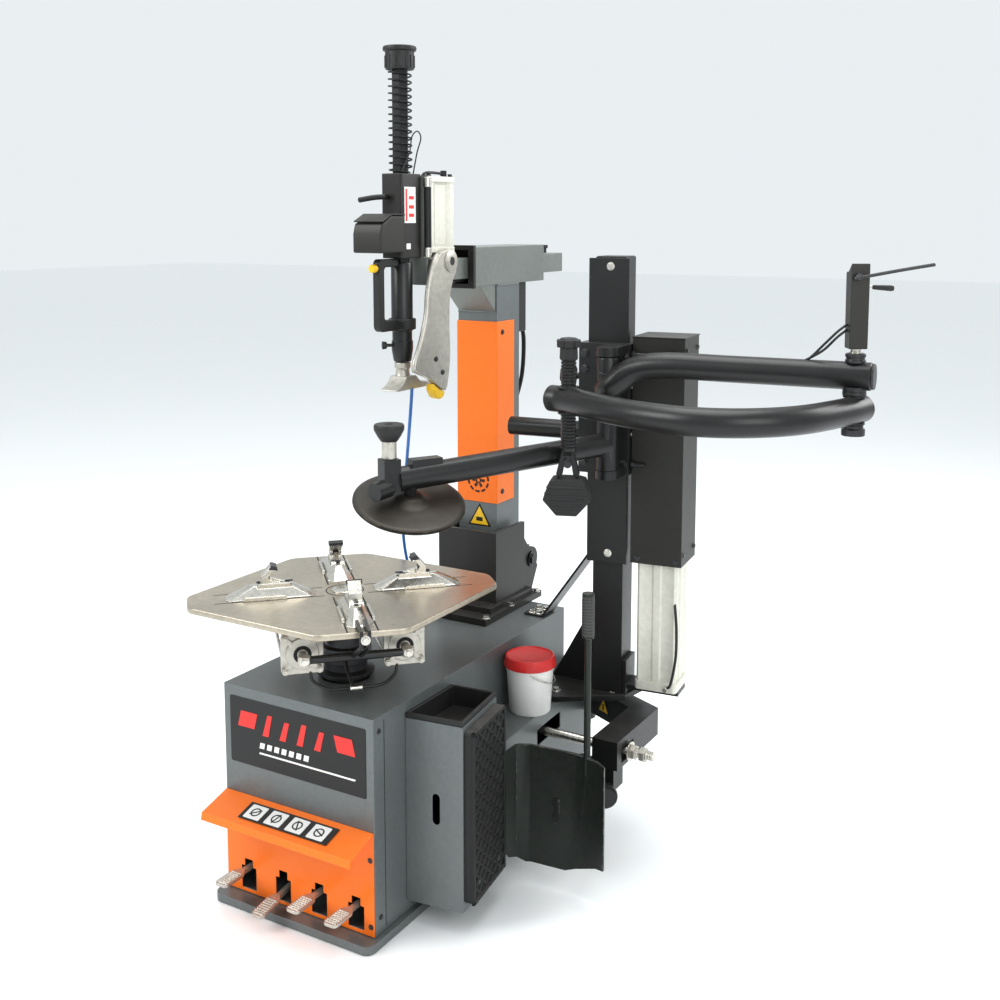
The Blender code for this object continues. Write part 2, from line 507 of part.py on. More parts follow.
def build_breaker():
    trunnion = (0, ROD_Y, ROD_Z)
    barrel = rod((-0.100, ROD_Y, ROD_Z), (0.185, ROD_Y, ROD_Z), 0.078, 24)
    bore = rod((-0.090, ROD_Y, ROD_Z), (0.3, ROD_Y, ROD_Z), 0.0135, 12)
    piece("breaker_cylinder", "cabinet_grey", [barrel], [bore], trunnion)
    shaft = rod((0.000, ROD_Y, ROD_Z), (0.614, ROD_Y, ROD_Z), 0.0115, 12)
    nuts = [rod((x, ROD_Y, ROD_Z), (x + w, ROD_Y, ROD_Z), r, n) for x, w, r, n in NUTS]
    piece("breaker_rod", "bright_steel", [shaft, *nuts], (), (0.508, ROD_Y, ROD_Z))

    hub = BREAKER_AXIS
    beam = [(0.285, 0.672), (0.474, 0.575), (0.474, 0.360), (0.542, 0.360), (0.542, 0.610), (0.300, 0.728)]
    barrel = rod(hub + Vector((0, 0, 0.226)), hub + Vector((0, 0, 0.330)), 0.031, 20)
    hook = box((0.434, 0.345, 0.246), (0.500, 0.392, 0.270))
    pin = rod(BLADE_PIN + Vector((0, 0, 0.160)), BLADE_PIN + Vector((0, 0, 0.255)), 0.010, 12)
    back = Vector((-0.503, 0.864, 0))
    cap = Vector((0.521, 0.340, 0.196))
    tube = rod(cap, cap + 0.125 * back, 0.0255, 20)
    ring = rod(cap + 0.010 * back, cap + 0.024 * back, 0.031, 20)
    saddle = box((0.488, 0.366, 0.205), (0.530, 0.420, 0.270))
    bore = rod(hub, hub + Vector((0, 0, 0.5)), 0.0186, 16)
    passage = box((0.46, 0.385, ROD_Z - 0.018), (0.56, 0.455, ROD_Z + 0.018))
    shapes = [prism(beam, "z", 0.262, 0.334), barrel, hook, pin, tube, ring, saddle]
    piece("breaker_arm", "powder_black", shapes, [bore, passage], hub + Vector((0, 0, 0.28)))

    plan = [(0.338, 0.160), (0.355, 0.195), (0.385, 0.211), (0.500, 0.219), (0.560, 0.206), (0.590, 0.185)]
    plan += [(u - 0.001, v + 0.008) for u, v in reversed(plan)]
    sheet = prism(plan, "z", 0.058, 0.352)
    lug = box((0.445, 0.212, 0.172), (0.459, 0.354, 0.232))
    knuckle = rod(BLADE_PIN + Vector((0, 0, 0.168)), BLADE_PIN + Vector((0, 0, 0.236)), 0.0195, 16)
    pin_hole = rod(BLADE_PIN + Vector((0, 0, 0.1)), BLADE_PIN + Vector((0, 0, 0.3)), 0.0106, 12)
    stick = rod((0.530, 0.219, 0.310), (0.530, 0.219, 0.665), 0.008, 12)
    grip = rod((0.530, 0.219, 0.640), (0.530, 0.219, 0.745), 0.0145, 14)
    corners = [
        prism([(0.2, 0.04), (0.375, 0.04), (0.375, 0.058), (0.345, 0.075), (0.327, 0.12), (0.2, 0.12)], "y", 0.1, 0.3),
        prism([(0.7, 0.04), (0.475, 0.04), (0.475, 0.058), (0.595, 0.105), (0.7, 0.105)], "y", 0.1, 0.3),
        prism([(0.2, 0.4), (0.350, 0.4), (0.350, 0.352), (0.336, 0.340), (0.326, 0.310), (0.2, 0.310)], "y", 0.1, 0.3),
    ]
    piece("breaker_blade", "powder_black", [sheet, lug, knuckle, stick, grip], [pin_hole, *corners], BLADE_PIN + Vector((0, 0, 0.2)))


# ---- assist tower ----------------------------------------------------------------------------


def build_tower():
    base = [(CAB_X + 0.0006, 0.455), (0.318, 0.460), (0.468, 0.565), (0.484, 0.655), (0.325, 0.735), (CAB_X + 0.0006, 0.735)]
    z0, z1 = SHELF_TOP + GAP, SHELF_TOP + 0.0153
    gusset = [(0.240, z1 - 0.001), (0.3705, z1 - 0.001), (0.3705, 0.570), (0.352, 0.570)]
    hinge_block = box((CAB_X + 0.0006, 0.670, 0.205), (0.250, 0.735, z0 + 0.002))
    lug = box((0.245, 0.672, 0.205), (0.285, 0.728, 0.220))
    pin = rod(BREAKER_AXIS + Vector((0, 0, 0.206)), BREAKER_AXIS + Vector((0, 0, z0 + 0.002)), 0.018, 16)
    foot = placed(box((0.0405, -0.035, z1 + 0.014), (0.190, 0.035, z1 + 0.026)), TOWER)
    upright = placed(box((0.0405, -0.038, z1 - 0.002), (0.052, 0.038, z1 + 0.090)), TOWER)
    shapes = [prism(base, "z", z0, z1), prism(gusset, "y", 0.594, 0.602), hinge_block, lug, pin, foot, upright]
    piece("tower_bracket", "powder_black", shapes)

    post = box((-POST_HALF, -POST_HALF, z1 + GAP), (POST_HALF, POST_HALF, POST_TOP))
    rail = box((-0.0525, -0.0535, RAIL_Z0), (0.0525, -0.0395, RAIL_Z1))
    hollow = box((0.006 - POST_HALF, 0.006 - POST_HALF, z1 - 0.01), (POST_HALF - 0.006, POST_HALF - 0.006, POST_TOP - 0.006))
    piece("tower_post", "powder_black", [placed(post, TOWER), placed(rail, TOWER)], [placed(hollow, TOWER)])

    strap = [(0.150, CAB_TOP + GAP), (0.206, CAB_TOP + GAP), (0.3575, 0.735), (0.3575, 0.745), (0.203, CAB_TOP + 0.0063), (0.150, CAB_TOP + 0.0063)]
    piece("tower_brace", "powder_black", [prism(strap, "y", 0.596, 0.662)])

    size, z2 = 0.055, z1 + 0.0263
    body = prism(inset([(0.1345 - size, -size), (0.1345 + size, -size), (0.1345 + size, size), (0.1345 - size, size)], 0), "z", z2, 0.950)
    bore = rod((0.1345, 0, z2 + 0.030), (0.1345, 0, 1.0), 0.015, 12)
    piece("lift_cylinder", "cast_aluminium", [placed(body, TOWER)], [placed(bore, TOWER)])


def build_carriage():
    pivot = TOWER @ Vector((0, -0.07, 1.12))
    half, front = 0.0665, -0.085
    section = [(-half, front), (half, front), (half, -0.030), (0.0425, -0.030), (0.0425, -0.0385), (0.0531, -0.0385)]
    section += [(0.0531, -0.0541), (-0.0531, -0.0541), (-0.0531, -0.0385), (-0.0425, -0.0385), (-0.0425, -0.030), (-half, -0.030)]
    body = prism(section, "z", CARRIAGE_Z0, CARRIAGE_Z1)
    lug = [(0.000, -0.080), (0.002, -0.145)] + arc((0.030, -0.145), 0.028, 190, 350, 7) + [(0.058, -0.145), (0.060, -0.080)]
    lugs = [prism(lug, "z", z, z + 0.022) for z in (CARRIAGE_Z0 + 0.002, CARRIAGE_Z1 - 0.024)]
    pin = rod((0.030, -0.145, CARRIAGE_Z0 + 0.004), (0.030, -0.145, CARRIAGE_Z1 - 0.004), 0.015, 16)
    rest = rod((-0.060, -0.062, 1.060), (-0.262, -0.062, 1.060), 0.024, 16)
    piece("carriage", "powder_black", [placed(s, TOWER) for s in (body, *lugs, pin, rest)], (), pivot)

    shell = box((0.068, -0.0665, 0.731), (0.201, 0.0665, 1.304))
    hollow = box((0.0705, -0.064, 0.6), (0.1985, 0.064, 1.300))
    inner_rod = rod((0.1345, 0, 0.720), (0.1345, 0, 1.302), 0.0125, 12)
    cover = piece("cylinder_cover", "powder_black", [placed(shell, TOWER)], [placed(hollow, TOWER)], pivot)
    joined = cover.modifiers.new("piston_rod", "BOOLEAN")
    joined.operation = "UNION"
    joined.object = helper("cylinder_cover.rod", placed(inner_rod, TOWER))

    star = [(0, -0.0670), (0.010, -0.0670), (0.010, -0.100), (0.027, -0.100), (0.027, -0.122), (0, -0.122)]
    aim = Matrix.Translation((0, -0.062, 1.200)) @ Matrix.Rotation(math.radians(90), 4, "Y")
    piece("star_knob", "black_plastic", [placed(turned(star, 10, aim), TOWER)], (), TOWER @ Vector((-0.0670, -0.062, 1.200)))


def build_arms():
    hinge = SWING
    z_tube = 1.249
    route = [hinge + Vector((-0.006, 0.002, 1.180)), hinge + Vector((0.020, -0.014, 1.196)), (0.530, 0.455, 1.234)]
    route += [(0.610, 0.462, z_tube), (0.780, 0.478, z_tube), (1.080, 0.503, z_tube)]
    barrel = rod(hinge + Vector((0, 0, 1.128)), hinge + Vector((0, 0, 1.2615)), 0.027, 20)
    bore = rod(hinge + Vector((0, 0, 0.9)), hinge + Vector((0, 0, 1.5)), 0.0156, 16)
    stud = rod(ELBOW + Vector((0, 0, 1.115)), ELBOW + Vector((0, 0, 1.300)), 0.0175, 16)
    collar = rod(ELBOW + Vector((0, 0, 1.2065)), ELBOW + Vector((0, 0, 1.225)), 0.026, 20)
    nut = rod(ELBOW + Vector((0, 0, 1.115)), ELBOW + Vector((0, 0, 1.1405)), 0.026, 12)
    piece("upper_arm", "powder_black", [bent_tube(route, TUBE_R), barrel, stud, collar, nut], [bore], hinge + Vector((0, 0, 1.2)))

    z_low = 1.173
    plan = [(0.381, 0.315), (0.430, 0.303), (0.551, 0.232), (0.670, 0.181), (0.800, 0.165), (0.905, 0.208)]
    plan += [(0.985, 0.300), (1.035, 0.440), (1.055, 0.530)]
    stud_hole = rod(ELBOW + Vector((0, 0, 1.0)), ELBOW + Vector((0, 0, 1.3)), 0.0181, 16)
    rod_hole = rod(PRESS_AXIS + Vector((0, 0, 1.0)), PRESS_AXIS + Vector((0, 0, 1.3)), 0.0188, 16)
    piece("lower_arm", "powder_black", [bent_tube([(*p, z_low) for p in plan], TUBE_R)], [stud_hole, rod_hole], ELBOW + Vector((0, 0, z_low)))

    sway = Matrix.Translation(ELBOW) @ Matrix.Rotation(math.radians(30), 4, "Z")
    profile = [(-0.020, 1.310), (0.020, 1.310), (0.024, 1.480), (0.008, 1.480), (-0.020, 1.500)]
    body = placed(prism(profile, "x", -0.020, 0.020), sway)
    neck = rod(ELBOW + Vector((0, 0, 1.3004)), ELBOW + Vector((0, 0, 1.315)), 0.014, 14)
    handle = rod((0, 0, 1.4465), (0.075, -0.012, 1.4440), 0.006, 10)
    piece("valve_post", "powder_black", [body, neck, placed(handle, sway)], (), ELBOW + Vector((0, 0, 1.4)))
    whip = rod((-0.016, -0.030, 1.4665), (0.150, -0.048, 1.4975), 0.004, 8)
    root_boss = rod((0.0, -0.0245, 1.4700), (0.0, -0.036, 1.4700), 0.008, 12)
    piece("valve_lever", "dark_steel", [placed(whip, sway), placed(root_boss, sway)], (), sway @ Vector((0, -0.0245, 1.47)))


def build_press():
    axis = PRESS_AXIS
    screw = rod(axis + Vector((0, 0, 1.050)), axis + Vector((0, 0, 1.300)), 0.0180, 14)
    knob = rod(axis + Vector((0, 0, 1.298)), axis + Vector((0, 0, 1.322)), 0.030, 10)
    clevis = [(-0.010, 1.062), (0.010, 1.062), (0.028, 0.998), (0.024, 0.985), (-0.024, 0.985), (-0.028, 0.998)]
    turn = Matrix.Translation(axis) @ Matrix.Rotation(math.radians(20), 4, "Z")
    piece("press_rod", "black_plastic", [screw, knob, placed(prism(clevis, "y", -0.012, 0.012), turn)], (), axis + Vector((0, 0, 1.2)))
    shell = [(-0.040, 0.984), (0.040, 0.984), (0.056, 0.938), (0.022, 0.900), (-0.022, 0.900), (-0.056, 0.938)]
    piece("pusher_block", "black_plastic", [placed(prism(shell, "y", -0.036, 0.036), turn)], (), axis + Vector((0, 0, 0.984)))


def build_disc_arm():
    hinge = SWING
    start = hinge + Vector((0, 0, 1.046))
    along = (DISC_END - start).normalized()
    tube = rod(start, DISC_END, 0.0285, 16)
    barrel = rod(hinge + Vector((0, 0, 0.983)), hinge + Vector((0, 0, 1.1265)), 0.027, 20)
    heading = Matrix.Translation(DISC_END + 0.018 * along) @ Matrix.Rotation(math.atan2(along.y, along.x), 4, "Z")
    block = placed(box((-0.020, -0.019, -0.029), (0.020, 0.019, 0.050)), heading)
    stub = rod(DISC_END + 0.018 * along + Vector((0, 0, -0.014)), DISC_END + Vector((-0.018, -0.060, -0.020)), 0.0215, 16)
    latch = placed(box((-0.125, -0.016, 0.026), (-0.050, 0.016, 0.044)), heading)
    spindle = rod(DISC_CENTRE + 0.0225 * DISC_NORMAL, DISC_CENTRE + 0.045 * DISC_NORMAL, 0.014, 14)
    bore = rod(hinge + Vector((0, 0, 0.9)), hinge + Vector((0, 0, 1.5)), 0.0156, 16)
    piece("disc_arm", "powder_black", [tube, barrel, block, stub, latch, spindle], [bore], hinge + Vector((0, 0, 1.04)))

    tilt = Vector((0, 0, 1)).rotation_difference(DISC_NORMAL).to_matrix().to_4x4()
    dish = [(0, -0.007), (0.118, -0.007), (0.128, -0.002), (0.128, 0.002), (0.118, 0.006), (0.055, 0.007), (0.024, 0.022), (0, 0.022)]
    piece("rim_disc", "powder_black", [turned(dish, 32, Matrix.Translation(DISC_CENTRE) @ tilt)], (), DISC_CENTRE)

    foot = DISC_END + 0.018 * along + Vector((0, 0, 0.0503))
    cone = [(0, 0), (0.0165, 0), (0.0165, 0.042), (0.024, 0.050), (0.034, 0.068), (0.034, 0.078), (0, 0.078)]
    piece("cone_roller", "bright_steel", [turned(cone, 20, Matrix.Translation(foot))], (), foot)


HOSE_ROUTE = [
    (0.024, 0.250, 1.1792),
    (0.022, 0.250, 1.150),
    (0.012, 0.252, 1.060),
    (-0.012, 0.272, 0.960),
    (-0.045, 0.305, 0.870),
    (-0.070, 0.340, 0.780),
    (-0.076, 0.365, 0.700),
    (-0.066, 0.390, 0.620),
    (-0.052, 0.402, 0.560),
    (-0.050, 0.404, 0.5235),
]


def build_hose():
    curve = bpy.data.curves.new("air_hose", "CURVE")
    curve.dimensions = "3D"
    curve.bevel_depth = 0.004
    curve.bevel_resolution = 2
    curve.use_fill_caps = True
    line = curve.splines.new("POLY")
    points = smooth_route(HOSE_ROUTE, 4)
    line.points.add(len(points) - 1)
    for point, place in zip(line.points, points):
        point.co = (*place, 1)
    hose = bpy.data.objects.new("air_hose", curve)
    curve.materials.append(finish("hose_blue"))
    bpy.context.scene.collection.objects.link(hose)


def main():
    clear_scene()
    build_cabinet()
    build_pedals()
    build_drive()
    build_turntable()
    build_jaws()
    build_column()
    build_head()
    build_tool_bar()
    build_side_box()
    build_breaker()
    build_tower()
    build_carriage()
    build_arms()
    build_press()
    build_disc_arm()
    build_hose()


main()
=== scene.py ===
"""Looks of a tilt-back tyre changer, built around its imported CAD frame."""

from __future__ import annotations

import json
import logging
import math
from collections.abc import Iterable, Sequence
from dataclasses import dataclass, field
from enum import Enum

import bmesh
import bpy
from mathutils import Matrix, Vector

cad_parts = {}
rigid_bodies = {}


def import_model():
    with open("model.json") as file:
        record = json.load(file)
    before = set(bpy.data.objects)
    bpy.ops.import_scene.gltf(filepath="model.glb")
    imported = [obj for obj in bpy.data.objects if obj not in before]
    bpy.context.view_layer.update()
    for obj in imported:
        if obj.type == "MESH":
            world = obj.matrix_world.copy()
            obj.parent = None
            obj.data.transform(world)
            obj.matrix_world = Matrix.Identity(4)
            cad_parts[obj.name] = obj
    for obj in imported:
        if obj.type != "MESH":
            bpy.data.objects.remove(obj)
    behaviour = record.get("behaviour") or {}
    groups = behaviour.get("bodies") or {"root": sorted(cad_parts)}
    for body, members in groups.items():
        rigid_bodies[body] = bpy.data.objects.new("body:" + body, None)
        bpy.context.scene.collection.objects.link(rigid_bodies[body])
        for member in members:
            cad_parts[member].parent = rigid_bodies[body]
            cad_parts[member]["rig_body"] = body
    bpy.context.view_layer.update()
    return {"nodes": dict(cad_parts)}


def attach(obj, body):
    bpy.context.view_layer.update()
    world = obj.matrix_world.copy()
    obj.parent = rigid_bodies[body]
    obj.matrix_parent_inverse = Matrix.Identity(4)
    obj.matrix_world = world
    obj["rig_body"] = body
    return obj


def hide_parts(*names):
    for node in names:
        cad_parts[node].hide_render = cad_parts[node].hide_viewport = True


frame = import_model()
LOG = logging.getLogger("tyre_changer")

Point = Sequence[float]
Colour = tuple[float, float, float]
Outline = list[tuple[float, float]]
Shape = bmesh.types.BMesh
Tree = bpy.types.NodeTree
Socket = bpy.types.NodeSocket
Piece = bpy.types.Object


def spin(degrees: float, axis: str = "Z") -> Matrix:
    """A turn about an axis through the origin.

    Args:
        degrees: the angle.
        axis: "X", "Y" or "Z".

    Returns:
        The turning matrix.
    """
    return Matrix.Rotation(math.radians(degrees), 4, axis)


def shift(x: float, y: float, z: float) -> Matrix:
    """A move along the three axes.

    Args:
        x: metres along X.
        y: metres along Y.
        z: metres along Z.

    Returns:
        The moving matrix.
    """
    return Matrix.Translation((x, y, z))


SIDES = (-1, 1)
MERGE_DISTANCE = 1e-5
FLAT_ANGLE = math.radians(1.0)
HOVER = 0.0001
TOWER = shift(0.412, 0.600, 0) @ spin(6.6)
SWING = TOWER @ Vector((0.030, -0.145, 0))
ELBOW = Vector((1.045, 0.500, 0))
PRESS_AXIS = Vector((0.430, 0.307, 0))
DISC_END = Vector((0.174, -0.029, 1.017))
DISC_CENTRE = Vector((0.185, 0.002, 0.960))
DISC_NORMAL = Vector((0.26, -0.20, 0.945)).normalized()
HEAD = Vector((0, 0.245, 0))
PLATE_TOP = 0.728


# ---- finishes --------------------------------------------------------------------------------

EDGE_SAMPLES = 4
EDGE_GAIN = 9.0
BREAKUP_GAIN = 6.0
EDGE_LOOK = {"Radius": 0.0014, "Breakup": 70.0}
MOTTLE_LOOK = {"Scale": 5.0, "Fine Scale": 80.0}
DARK_TONE = 0.72
LIGHT_TONE, LIGHT_LIFT = 1.25, 0.004
DUST_COLOUR = (0.45, 0.43, 0.40)
DUST_FALLOFF = 4.0
COAT_ROUGHNESS = 0.15
ROUGHNESS_SPREAD = 0.22
BUMP_DISTANCE = 0.0006


class Grain(Enum):
    """How a finish's fine surface runs."""

    SATIN = "satin"
    POWDER = "powder"
    CAST = "cast"
    BRUSHED = "brushed"
    MOULDED = "moulded"


@dataclass(frozen=True)
class GrainLook:
    """Size and depth of a grain.

    Args:
        scale: grains per metre.
        stretch: how much longer a grain is along X than across.
        depth: bump strength.
    """

    scale: float
    stretch: float
    depth: float


GRAINS = {
    Grain.SATIN: GrainLook(420.0, 1.0, 0.05),
    Grain.POWDER: GrainLook(700.0, 1.0, 0.22),
    Grain.CAST: GrainLook(260.0, 1.0, 0.28),
    Grain.BRUSHED: GrainLook(900.0, 40.0, 0.06),
    Grain.MOULDED: GrainLook(500.0, 1.0, 0.10),
}


def new_group(name: str, inputs: dict[str, float], outputs: dict[str, str]) -> Tree:
    """Starts a shader node group.

    Args:
        name: the group's name.
        inputs: float inputs and their defaults.
        outputs: output names and socket types.

    Returns:
        The group, holding only its input and output nodes.
    """
    group = bpy.data.node_groups.new(name, "ShaderNodeTree")
    for label, default in inputs.items():
        socket = group.interface.new_socket(label, in_out="INPUT", socket_type="NodeSocketFloat")
        socket.default_value = default
    for label, kind in outputs.items():
        group.interface.new_socket(label, in_out="OUTPUT", socket_type=kind)
    group.nodes.new("NodeGroupInput")
    group.nodes.new("NodeGroupOutput")
    return group


def math_node(tree: Tree, operation: str, *values: object) -> Socket:
    """Adds a Math node fed by sockets or numbers and returns its output.

    Args:
        tree: the tree it goes in.
        operation: the node's operation.
        *values: a socket or a number for each input.

    Returns:
        The node's output.
    """
    node = tree.nodes.new("ShaderNodeMath")
    node.operation = operation
    for socket, value in zip(node.inputs, values):
        if isinstance(value, Socket):
            tree.links.new(value, socket)
        else:
            socket.default_value = value
    return node.outputs[0]


class SharedEffects:
    """Shader node groups that several finishes use."""

    def __init__(self) -> None:
        """Builds each group once."""
        self.edges = self.worn_edges()
        self.mottle = self.mottled()
        self.grain = self.fine_grain()
        self.dust = self.settled_dust()

    @staticmethod
    def worn_edges() -> Tree:
        """A group that marks outer edges, broken up by noise, and gives softened normals."""
        group = new_group(
            "Worn Edges",
            {"Radius": 0.0015, "Breakup": 60.0, "Reach": 0.5},
            {"Mask": "NodeSocketFloat", "Normal": "NodeSocketVector"},
        )
        nodes, links = group.nodes, group.links
        source, sink = nodes["Group Input"], nodes["Group Output"]
        bevel = nodes.new("ShaderNodeBevel")
        bevel.samples = EDGE_SAMPLES
        links.new(source.outputs["Radius"], bevel.inputs["Radius"])
        geometry = nodes.new("ShaderNodeNewGeometry")
        dot = nodes.new("ShaderNodeVectorMath")
        dot.operation = "DOT_PRODUCT"
        links.new(bevel.outputs[0], dot.inputs[0])
        links.new(geometry.outputs["Normal"], dot.inputs[1])
        place = nodes.new("ShaderNodeTexCoord")
        noise = nodes.new("ShaderNodeTexNoise")
        noise.inputs["Detail"].default_value = 6.0
        links.new(place.outputs["Object"], noise.inputs["Vector"])
        links.new(source.outputs["Breakup"], noise.inputs["Scale"])
        bend = math_node(group, "SUBTRACT", 1.0, dot.outputs["Value"])
        raised = math_node(group, "MULTIPLY", bend, EDGE_GAIN)
        broken = math_node(group, "SUBTRACT", noise.outputs[0], source.outputs["Reach"])
        sharp = math_node(group, "MULTIPLY", broken, BREAKUP_GAIN)
        clipped = nodes.new("ShaderNodeClamp")
        links.new(sharp, clipped.inputs["Value"])
        mask = math_node(group, "MULTIPLY", raised, clipped.outputs[0])
        bounded = nodes.new("ShaderNodeClamp")
        links.new(mask, bounded.inputs["Value"])
        links.new(bounded.outputs[0], sink.inputs["Mask"])
        links.new(bevel.outputs[0], sink.inputs["Normal"])
        return group

    @staticmethod
    def mottled() -> Tree:
        """A group that gives a slow change of tone with finer marks over it."""
        group = new_group(
            "Mottle", {"Scale": 6.0, "Fine Scale": 90.0, "Contrast": 0.5}, {"Value": "NodeSocketFloat"},
        )
        nodes, links = group.nodes, group.links
        source, sink = nodes["Group Input"], nodes["Group Output"]
        place = nodes.new("ShaderNodeTexCoord")
        slow, fine = nodes.new("ShaderNodeTexNoise"), nodes.new("ShaderNodeTexNoise")
        for noise, label in ((slow, "Scale"), (fine, "Fine Scale")):
            noise.inputs["Detail"].default_value = 5.0
            links.new(place.outputs["Object"], noise.inputs["Vector"])
            links.new(source.outputs[label], noise.inputs["Scale"])
        both = math_node(group, "ADD", slow.outputs[0], fine.outputs[0])
        centred = math_node(group, "SUBTRACT", both, 1.0)
        spread = math_node(group, "MULTIPLY", centred, source.outputs["Contrast"])
        links.new(math_node(group, "ADD", spread, 0.5), sink.inputs["Value"])
        return group

    @staticmethod
    def fine_grain() -> Tree:
        """A group that gives the height of a fine grain, drawn out along X where asked."""
        group = new_group("Fine Grain", {"Scale": 500.0, "Stretch": 1.0}, {"Height": "NodeSocketFloat"})
        nodes, links = group.nodes, group.links
        source, sink = nodes["Group Input"], nodes["Group Output"]
        place = nodes.new("ShaderNodeTexCoord")
        split, join = nodes.new("ShaderNodeSeparateXYZ"), nodes.new("ShaderNodeCombineXYZ")
        links.new(place.outputs["Object"], split.inputs[0])
        links.new(math_node(group, "DIVIDE", split.outputs[0], source.outputs["Stretch"]), join.inputs[0])
        links.new(split.outputs[1], join.inputs[1])
        links.new(split.outputs[2], join.inputs[2])
        noise = nodes.new("ShaderNodeTexNoise")
        noise.inputs["Detail"].default_value = 3.0
        links.new(join.outputs[0], noise.inputs["Vector"])
        links.new(source.outputs["Scale"], noise.inputs["Scale"])
        links.new(noise.outputs[0], sink.inputs["Height"])
        return group

    @staticmethod
    def settled_dust() -> Tree:
        """A group that marks where workshop dust lies: on faces that look up."""
        group = new_group("Settled Dust", {"Amount": 0.3}, {"Mask": "NodeSocketFloat"})
        nodes, links = group.nodes, group.links
        source, sink = nodes["Group Input"], nodes["Group Output"]
        geometry = nodes.new("ShaderNodeNewGeometry")
        split = nodes.new("ShaderNodeSeparateXYZ")
        links.new(geometry.outputs["Normal"], split.inputs[0])
        place, noise = nodes.new("ShaderNodeTexCoord"), nodes.new("ShaderNodeTexNoise")
        noise.inputs["Scale"].default_value = 35.0
        noise.inputs["Detail"].default_value = 8.0
        links.new(place.outputs["Object"], noise.inputs["Vector"])
        up = math_node(group, "POWER", math_node(group, "MAXIMUM", split.outputs[2], 0.0), DUST_FALLOFF)
        patchy = math_node(group, "MULTIPLY", up, noise.outputs[0])
        links.new(math_node(group, "MULTIPLY", patchy, source.outputs["Amount"]), sink.inputs["Mask"])
        return group


@dataclass(frozen=True)
class Finish:
    """One surface finish.

    Args:
        name: the material's name.
        slot: the record's material slot it belongs to; not used.
        colour: base colour.
        grain: how its fine surface runs.
        metallic: 0 for paint and plastic, 1 for bare metal.
        roughness: how dull it is.
        wear: colour that shows where edges are rubbed.
        reach: noise level above which edges are rubbed, so a lower one wears more.
        contrast: how much its tone varies.
        dust: how much dust its upward faces hold.
        coat: strength of a clear coat.
    """

    name: str
    slot: str
    colour: Colour
    grain: Grain
    metallic: float = 0.0
    roughness: float = 0.45
    wear: Colour = (0.5, 0.5, 0.48)
    reach: float = 0.56
    contrast: float = 0.5
    dust: float = 0.10
    coat: float = 0.0

    def material(self, effects: SharedEffects) -> bpy.types.Material:
        """Builds the finish's material once.

        Args:
            effects: the shared shader groups.

        Returns:
            The material.
        """
        found = bpy.data.materials.get(self.name)
        if found is not None:
            return found
        made = bpy.data.materials.new(self.name)
        made.use_nodes = True
        tree = made.node_tree
        shader = tree.nodes["Principled BSDF"]
        look = GRAINS[self.grain]
        edges = self.place(tree, effects.edges, EDGE_LOOK | {"Reach": self.reach})
        mottle = self.place(tree, effects.mottle, MOTTLE_LOOK | {"Contrast": self.contrast})
        grain = self.place(tree, effects.grain, {"Scale": look.scale, "Stretch": look.stretch})
        dust = self.place(tree, effects.dust, {"Amount": self.dust})
        dark = tuple(c * DARK_TONE for c in self.colour)
        light = tuple(min(1.0, c * LIGHT_TONE + LIGHT_LIFT) for c in self.colour)
        toned = self.mix(tree, mottle.outputs["Value"], dark, light)
        worn = self.mix(tree, edges.outputs["Mask"], toned, self.wear)
        dusty = self.mix(tree, dust.outputs["Mask"], worn, DUST_COLOUR)
        tree.links.new(dusty, shader.inputs["Base Color"])
        shader.inputs["Metallic"].default_value = self.metallic
        shader.inputs["Coat Weight"].default_value = self.coat
        shader.inputs["Coat Roughness"].default_value = COAT_ROUGHNESS
        spread = math_node(tree, "MULTIPLY", mottle.outputs["Value"], ROUGHNESS_SPREAD)
        tree.links.new(
            math_node(tree, "ADD", spread, self.roughness - ROUGHNESS_SPREAD / 2),
            shader.inputs["Roughness"],
        )
        bump = tree.nodes.new("ShaderNodeBump")
        bump.inputs["Strength"].default_value = look.depth
        bump.inputs["Distance"].default_value = BUMP_DISTANCE
        tree.links.new(grain.outputs["Height"], bump.inputs["Height"])
        tree.links.new(edges.outputs["Normal"], bump.inputs["Normal"])
        tree.links.new(bump.outputs[0], shader.inputs["Normal"])
        return made

    @staticmethod
    def place(tree: Tree, group: Tree, values: dict[str, float]) -> bpy.types.Node:
        """Puts a shared group in a material with its own values.

        Args:
            tree: the material's tree.
            group: the shared group.
            values: its inputs by name.

        Returns:
            The group's node.
        """
        node = tree.nodes.new("ShaderNodeGroup")
        node.node_tree = group
        for label, value in values.items():
            node.inputs[label].default_value = value
        return node

    @staticmethod
    def mix(tree: Tree, mask: Socket, first: object, second: object) -> Socket:
        """Mixes two colours, each a socket or a plain colour, by a mask.

        Args:
            tree: the material's tree.
            mask: 0 for the first colour, 1 for the second.
            first: a socket or a colour.
            second: a socket or a colour.

        Returns:
            The mixed colour.
        """
        node = tree.nodes.new("ShaderNodeMix")
        node.data_type = "RGBA"
        tree.links.new(mask, node.inputs[0])
        for socket, value in ((node.inputs[6], first), (node.inputs[7], second)):
            if isinstance(value, Socket):
                tree.links.new(value, socket)
            else:
                socket.default_value = (*value, 1.0)
        return node.outputs[2]


